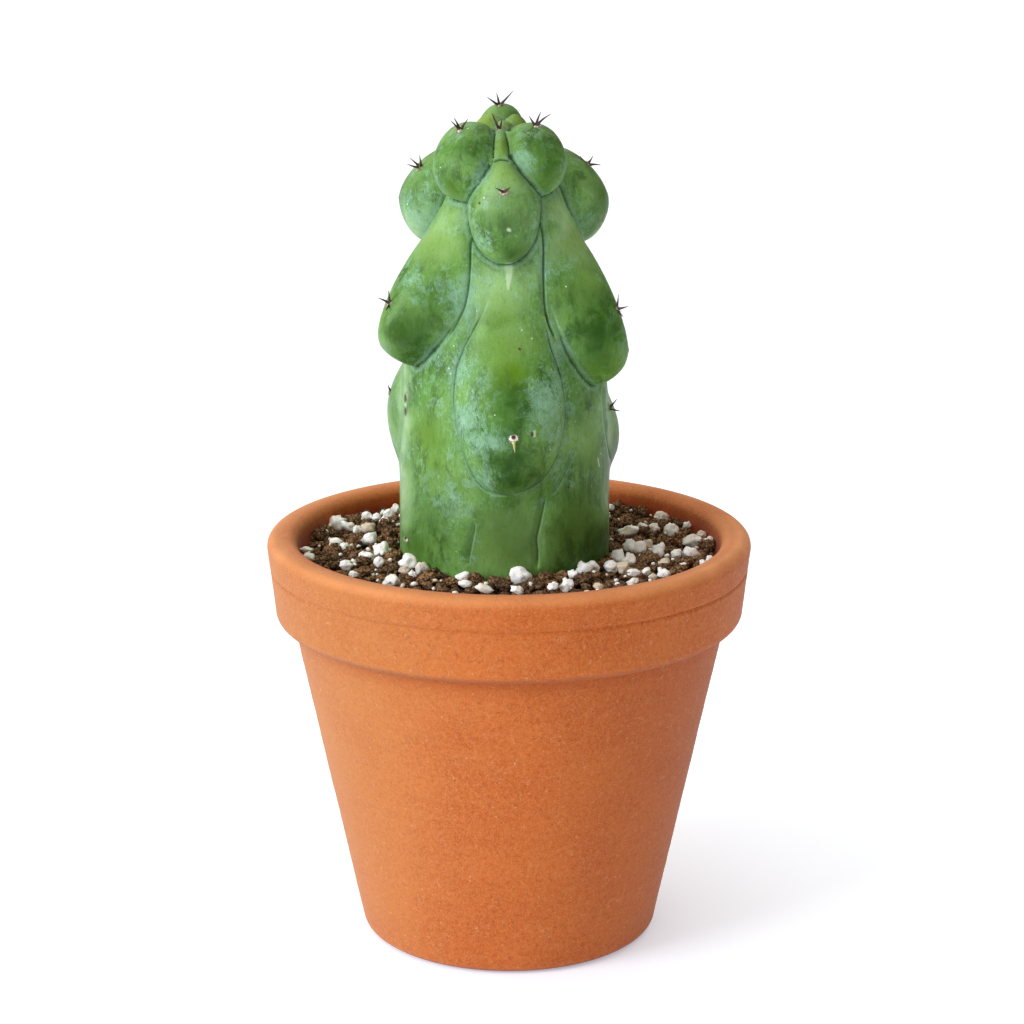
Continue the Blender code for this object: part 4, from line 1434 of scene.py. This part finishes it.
def fillPot():
    dice = random.Random(mix["seed"])
    ridesPot(makeBed(), peatFinish("peatBed", 0.3), "peat", "potting_mix")
    # ten or so moulds of each kind, each with its own seed
    crumbs = [makeMould("crumbMould", 2, 40 + n, 0.55, 4, 0.85) for n in range(10)]
    grains = [makeMould("grainMould", 2, 70 + n, 0.45, 7, 0.9) for n in range(10)]
    seenGrain = [makeMould("seenMould", 3, 90 + n, 0.42, 3 + n % 4, 1.0) for n in range(16)]
    seenClod = [makeMould("clodMould", 4, 120 + n, 0.5, 2, 0.95, 0.3) for n in range(9)]
    chalk = perliteFinish()
    taken = []
    for name, moulds, listed, rise, slotName, paint in (
            ("seenPerlite", seenGrain, seenGrains, 0.9 * mm, "perlite", chalk),
            ("seenClods", seenClod, seenClods, 0.0, "peat", peatFinish("peatClods", 0.9))):
        seen = placeSeen(dice, listed, rise)
        taken += [(place, size) for place, size, matrix in seen]
        places = [(n % len(moulds), matrix) for n, (place, size, matrix) in enumerate(seen)]
        ridesPot(strewCopies(name, moulds, places, dice), paint, slotName)
    # name, moulds, count, least and greatest radius and height over the surface in millimetres, closeness,
    # whether only behind the stem, slot and finish
    fill = (("backPerlite", grains, mix["grains"], 1.0, 2.8, 0.0, 0.72, True, "perlite", chalk),
            ("scrapPerlite", grains, mix["scraps"], 0.5, 1.1, 1.0, 0.6, False, "perlite", chalk),
            ("crumbs", crumbs, mix["crumbs"], 1.1, 3.0, -0.4, 0.66, False, "peat",
             peatFinish("peatCrumbs", 0.75)),
            ("underCrumbs", crumbs, mix["underCrumbs"], 1.2, 2.4, -1.8, 0.5, False, "peat",
             peatFinish("peatUnder", 0.4)))
    for name, moulds, count, least, most, over, closeness, behind, slotName, paint in fill:
        height = mix["surface"] + over * mm
        made = strewLayer(dice, count, least * mm, most * mm, height, taken, closeness, behind)
        places = []
        for place, size in made:
            sizes = [size * dice.uniform(*spread) for spread in ((0.9, 1.25), (0.8, 1.1), (0.75, 1.0))]
            number = dice.randrange(len(moulds))
            places.append((number, strewnAt(place, sizes, dice, (0, math.tau, "Z"), (-0.6, 0.6, "X"))))
        ridesPot(strewCopies(name, moulds, places, dice), paint, slotName)
        print(name, len(made))
    for mould in crumbs + grains + seenGrain + seenClod:
        bpy.data.objects.remove(mould)


print("potting mix")
fillPot()


# Areoles: felt cushions with dark spines

# pixel of the cushion, its radii in millimetres, pixels of the spines' tips, the pixel that the wool trails
# towards, and whether the areole is old and white
areoles = {
    "crownBack": {"at": (499, 105), "felt": (1.2, 0.6), "tips": [(487, 97), (496.5, 93), (513, 91)],
                  "wool": (499, 106)},
    "tipFront": {"at": (499, 129), "felt": (1.3, 0.6), "tips": [(492, 113), (502, 119)],
                 "wool": (503, 129)},
    "crownLeft": {"at": (459.5, 129.5), "felt": (1.7, 0.8), "tips": [(451, 121), (454, 118), (468, 119)],
                  "wool": (453, 133)},
    "crownRight": {"at": (536, 125.5), "felt": (1.7, 0.8), "tips": [(529, 116), (541, 111.5), (551, 114)],
                   "wool": (544, 131)},
    "shoulderFront": {"at": (503.5, 192), "felt": (0.9, 1.3), "tips": [(495.5, 188), (511, 187)],
                      "wool": (504, 200)},
    "shoulderLeft": {"at": (416, 163), "felt": (1.1, 0.6), "tips": [(410, 158), (419.5, 155), (407, 164)],
                     "wool": (413, 166)},
    "shoulderRight": {"at": (588, 164), "felt": (1.1, 0.6), "tips": [(580, 156), (593, 156), (601, 165)],
                      "wool": (592, 167)},
    "flankLeft": {"at": (389, 303.5), "felt": (0.7, 1.1),
                  "tips": [(378, 298), (388.5, 290.5), (385.5, 310.5)], "wool": (387, 308)},
    "flankRight": {"at": (617.5, 308.5), "felt": (0.7, 1.1),
                   "tips": [(618.5, 294.5), (628.5, 306), (623.5, 317)], "wool": (620, 312)},
    "bellyLeft": {"at": (390, 392), "felt": (0.5, 0.7), "tips": [(388, 385), (390, 399)],
                  "wool": (390, 396)},
    "bellyRight": {"at": (616, 407), "felt": (0.5, 0.7), "tips": [(617, 399), (620.5, 411)],
                   "wool": (616, 411)},
    "bellyFront": {"at": (513.5, 438.5), "felt": (1.05, 1.40), "tips": [(515, 452.5)],
                   "wool": (514, 444), "old": True},
    "footLeft": {"at": (406, 539), "felt": (0.7, 1.2), "tips": [], "wool": (404, 543), "old": True},
}

thorn = {
    "radius": 0.5 * mm,
    "tipRadius": 0.07 * mm,
    "sides": 8,
    "rings": 9,
    "lift": 2.6 * mm,  # how far a seen spine's tip stands off the skin, and how far it leans to the front
    "forward": 1.3 * mm,
    "bend": 0.06,
    "rootSwell": 0.5,  # how much thicker a spine is at its root, and up to what share of its length
    "rootShare": 0.12,
    "highest": 264.3 * mm,
    # length in millimetres, tilt off the skin's normal and turn about it in degrees, as on the solids
    "unseen": [(4.4, 38.0, -62.0), (4.8, 30.0, 12.0), (4.2, 40.0, 74.0)],
}

felt = {
    "hairs": 70,
    "length": (0.5 * mm, 1.3 * mm),
    "radius": 0.045 * mm,
    "sunk": 0.15 * mm,
    "unseen": (0.8, 0.9),  # the cushion's radii in millimetres where the photograph doesn't show it
    "dome": 0.45,
    "rough": 0.22,
    "bud": 0.85 * mm,
    "budLift": 0.42 * mm,
    "oldReach": (4 * mm, 6 * mm),  # how far from an old areole its white felt reaches
    "seed": 5,
}


def addCone(name, sides, point):
    # one unit high and one in radius at its root
    return addMesh(name, bpy.ops.mesh.primitive_cone_add, vertices=sides, radius1=1.0, radius2=point,
                   depth=1.0, location=(0.0, 0.0, 0.5))


def makeThornMould():
    # a cone, divided along its length and swollen at its root
    piece = addCone("thornMould", thorn["sides"], thorn["tipRadius"] / thorn["radius"])
    for n in range(1, thorn["rings"]):
        pickUp(piece)
        bpy.ops.object.mode_set(mode="EDIT")
        bpy.ops.mesh.select_all(action="SELECT")
        bpy.ops.mesh.bisect(plane_co=(0.0, 0.0, n / thorn["rings"]), plane_no=(0.0, 0.0, 1.0))
    bpy.ops.object.mode_set(mode="OBJECT")
    for vertex in piece.data.vertices:
        swell = 1.0 + thorn["rootSwell"] * math.exp(-(vertex.co.z / thorn["rootShare"]) ** 2)
        vertex.co.x *= swell
        vertex.co.y *= swell
    piece.data.update()
    return piece


def axesAlong(way, upward):
    # a frame whose Z runs along a direction
    z = way.normalized()
    x = upward.cross(z)
    if x.length < 0.01:
        x = Vector((1.0, 0.0, 0.0)).cross(z)
    x.normalize()
    return Matrix((x, z.cross(x), z)).transposed()


def bentCopy(mould, start, tip, radius, bend):
    # one spine or hair from start to tip, bowed a little
    copy = mould.data.copy()
    length = (tip - start).length
    axes = axesAlong(tip - start, up)
    for vertex in copy.vertices:
        x, y, z = vertex.co
        bow = bend * length * math.sin(math.pi * min(max(z, 0.0), 1.0))
        vertex.co = start + axes @ Vector((x * radius, y * radius - bow, z * length))
    return copy


def seenAreole(shape):
    # place, skin normal, spine tips and the way the wool trails, from the photograph's pixels
    place, normal = onSkin(shape["at"])
    tips = []
    for pixel in shape["tips"]:
        origin, ray = throughPixel(pixel)
        toward = place + normal * thorn["lift"]
        tip = origin + ray * ((toward - origin).dot(ray) - thorn["forward"])
        tip.z = min(tip.z, thorn["highest"])
        tips.append(tip)
    origin, ray = throughPixel(shape["wool"])
    trail = origin + ray * (place - origin).dot(ray) - place
    return place, normal, tips, trail


def unseenAreole(shape, dice):
    # on the sides and the back an areole sits where its lobe has it on the solids
    across, height = shape["areole"]
    turn = math.radians(across)
    guess = lobePoint(shape, math.sin(turn), math.cos(turn), height)
    place, normal = skinSurface.find_nearest(guess)[:2]
    axes = axesAlong(normal, up)
    tips = []
    for length, tilt, about in thorn["unseen"]:
        tilt, about = math.radians(tilt + dice.uniform(-8, 8)), math.radians(about + dice.uniform(-15, 15))
        way = Vector((math.sin(tilt) * math.sin(about), math.sin(tilt) * math.cos(about), math.cos(tilt)))
        tip = place + axes @ way * length * dice.uniform(0.75, 1.0) * mm
        tip.z = min(tip.z, thorn["highest"])
        tips.append(tip)
    return place, normal, tips, Vector((0.0, 0.0, -1.0 * mm))


def cushion(place, axes, sizes):
    # a low dome that is sunk into the skin
    ball = addMesh("cushion", bpy.ops.mesh.primitive_uv_sphere_add, segments=20, ring_count=12, radius=1.0)
    for vertex in ball.data.vertices:
        rough = 1.0 + felt["rough"] * noise.noise(vertex.co * 2.3 + place * 900.0)
        local = Vector((vertex.co.x * sizes[0], vertex.co.y * sizes[1], vertex.co.z * felt["dome"]))
        vertex.co = place + axes @ local * rough * mm
    mesh = ball.data.copy()
    bpy.data.objects.remove(ball)
    return mesh


def hairsOn(mould, place, axes, trail, sizes, dice, longer):
    made = []
    for n in range(felt["hairs"]):
        turn, out = dice.uniform(0.0, math.tau), math.sqrt(dice.random())
        local = Vector((out * math.cos(turn) * sizes[0], out * math.sin(turn) * sizes[1], 0.1)) * mm
        way = polar(out, turn, dice.uniform(0.35, 1.0))
        way += Vector((dice.uniform(-0.5, 0.5), dice.uniform(-0.5, 0.5), 0.0))
        length = longer * dice.uniform(*felt["length"])
        start = place + axes @ local
        tip = start + (axes @ way.normalized()) * length + trail * 0.35 * dice.random()
        made.append(bentCopy(mould, start, tip, felt["radius"], dice.uniform(-0.25, 0.25)))
    return made


def feltFinish():
    wool = Finish("areoleFelt")
    tuft = wool.grain(0.5 * mm, 4.0, 0.6)
    fine = wool.grain(0.12 * mm, 3.0, 0.6)
    colour = wool.coats((0.76, 0.66, 0.53), [
        (tuft, 0.38, 0.66, 1.0, (0.34, 0.19, 0.11)),
        (fine, 0.50, 0.66, 0.6, (0.88, 0.83, 0.74)),
    ])
    # the old areoles on the belly and the foot are white with a dark red bud
    colour = wool.lay(colour, (0.86, 0.83, 0.74), wool.mark("old"))
    colour = wool.lay(colour, (0.085, 0.008, 0.006), wool.mark("bud"))
    return wool.done(colour, 0.95, wool.relief(fine, 0.08 * mm, 0.8), Sheen_Weight=0.3)


def thornFinish(name, dark, brown, tip):
    horn = Finish(name)
    along = horn.grain(0.9 * mm, 4.0, 0.6)
    fine = horn.grain(0.15 * mm, 3.0, 0.6, 0.0, (1.0, 1.0, 0.3))
    colour = horn.coats(dark, [(along, 0.45, 0.75, 1.0, brown), (fine, 0.55, 0.75, 0.5, tip)])
    return horn.done(colour, 0.48, horn.relief(fine, 0.03 * mm, 0.6), Specular_IOR_Level=0.5)


def growAreoles():
    dice = random.Random(felt["seed"])
    mould = makeThornMould()
    hairMould = addCone("hairMould", 4, 0.25)
    spines, paleSpines, pads, hairs, old = [], [], [], [], []
    for name, shape in lobes.items():
        seen = areoles.get(name, {})
        if seen:
            place, normal, tips, trail = seenAreole(seen)
        elif shape["areole"] is not None:
            place, normal, tips, trail = unseenAreole(shape, dice)
        else:
            continue
        sizes = seen.get("felt", felt["unseen"])
        isOld = seen.get("old", False)
        axes = axesAlong(normal, trail if trail.length > 0.1 * mm else up)
        place = place - normal * felt["sunk"]
        if isOld:
            old.append((place + up * felt["budLift"], normal))
        for tip in tips:
            root = place - normal * 0.2 * mm + (trail * 0.7 if isOld else Vector())
            spine = bentCopy(mould, root, tip, thorn["radius"], thorn["bend"] * dice.uniform(-1.0, 1.0))
            (paleSpines if isOld else spines).append(spine)
        pads.append(cushion(place, axes, sizes))
        hairs += hairsOn(hairMould, place, axes, trail, sizes, dice, 0.3 if isOld else 1.0)
    bpy.data.objects.remove(mould)
    bpy.data.objects.remove(hairMould)
    dark = thornFinish("spine", (0.020, 0.009, 0.008), (0.110, 0.045, 0.022), (0.190, 0.100, 0.055))
    pale = thornFinish("paleSpine", (0.50, 0.50, 0.20), (0.62, 0.58, 0.30), (0.40, 0.34, 0.16))
    ridesPot(joinMeshes("spines", spines), dark, "spine")
    ridesPot(joinMeshes("paleSpine", paleSpines), pale, "spine")
    woolly = joinMeshes("areoleFelt", pads + hairs)
    ridesPot(woolly, feltFinish(), "areole_felt")
    marks = {"old": [], "bud": []}
    near, far = felt["oldReach"]
    for vertex in woolly.data.vertices:
        gap, across = min(((vertex.co - place).length, (vertex.co - place).cross(normal).length)
                          for place, normal in old)
        marks["old"].append(softStep(-gap, -far, -near))
        marks["bud"].append(softStep(-across, -felt["bud"], -0.7 * felt["bud"]) if gap < 2 * mm else 0.0)
    paintOn(woolly.data, marks)


print("areoles")
growAreoles()
print("triangles by piece:")
for piece in bpy.data.objects:
    if piece.type == "MESH":
        piece.data.calc_loop_triangles()
        print(" ", piece.name, len(piece.data.loop_triangles))
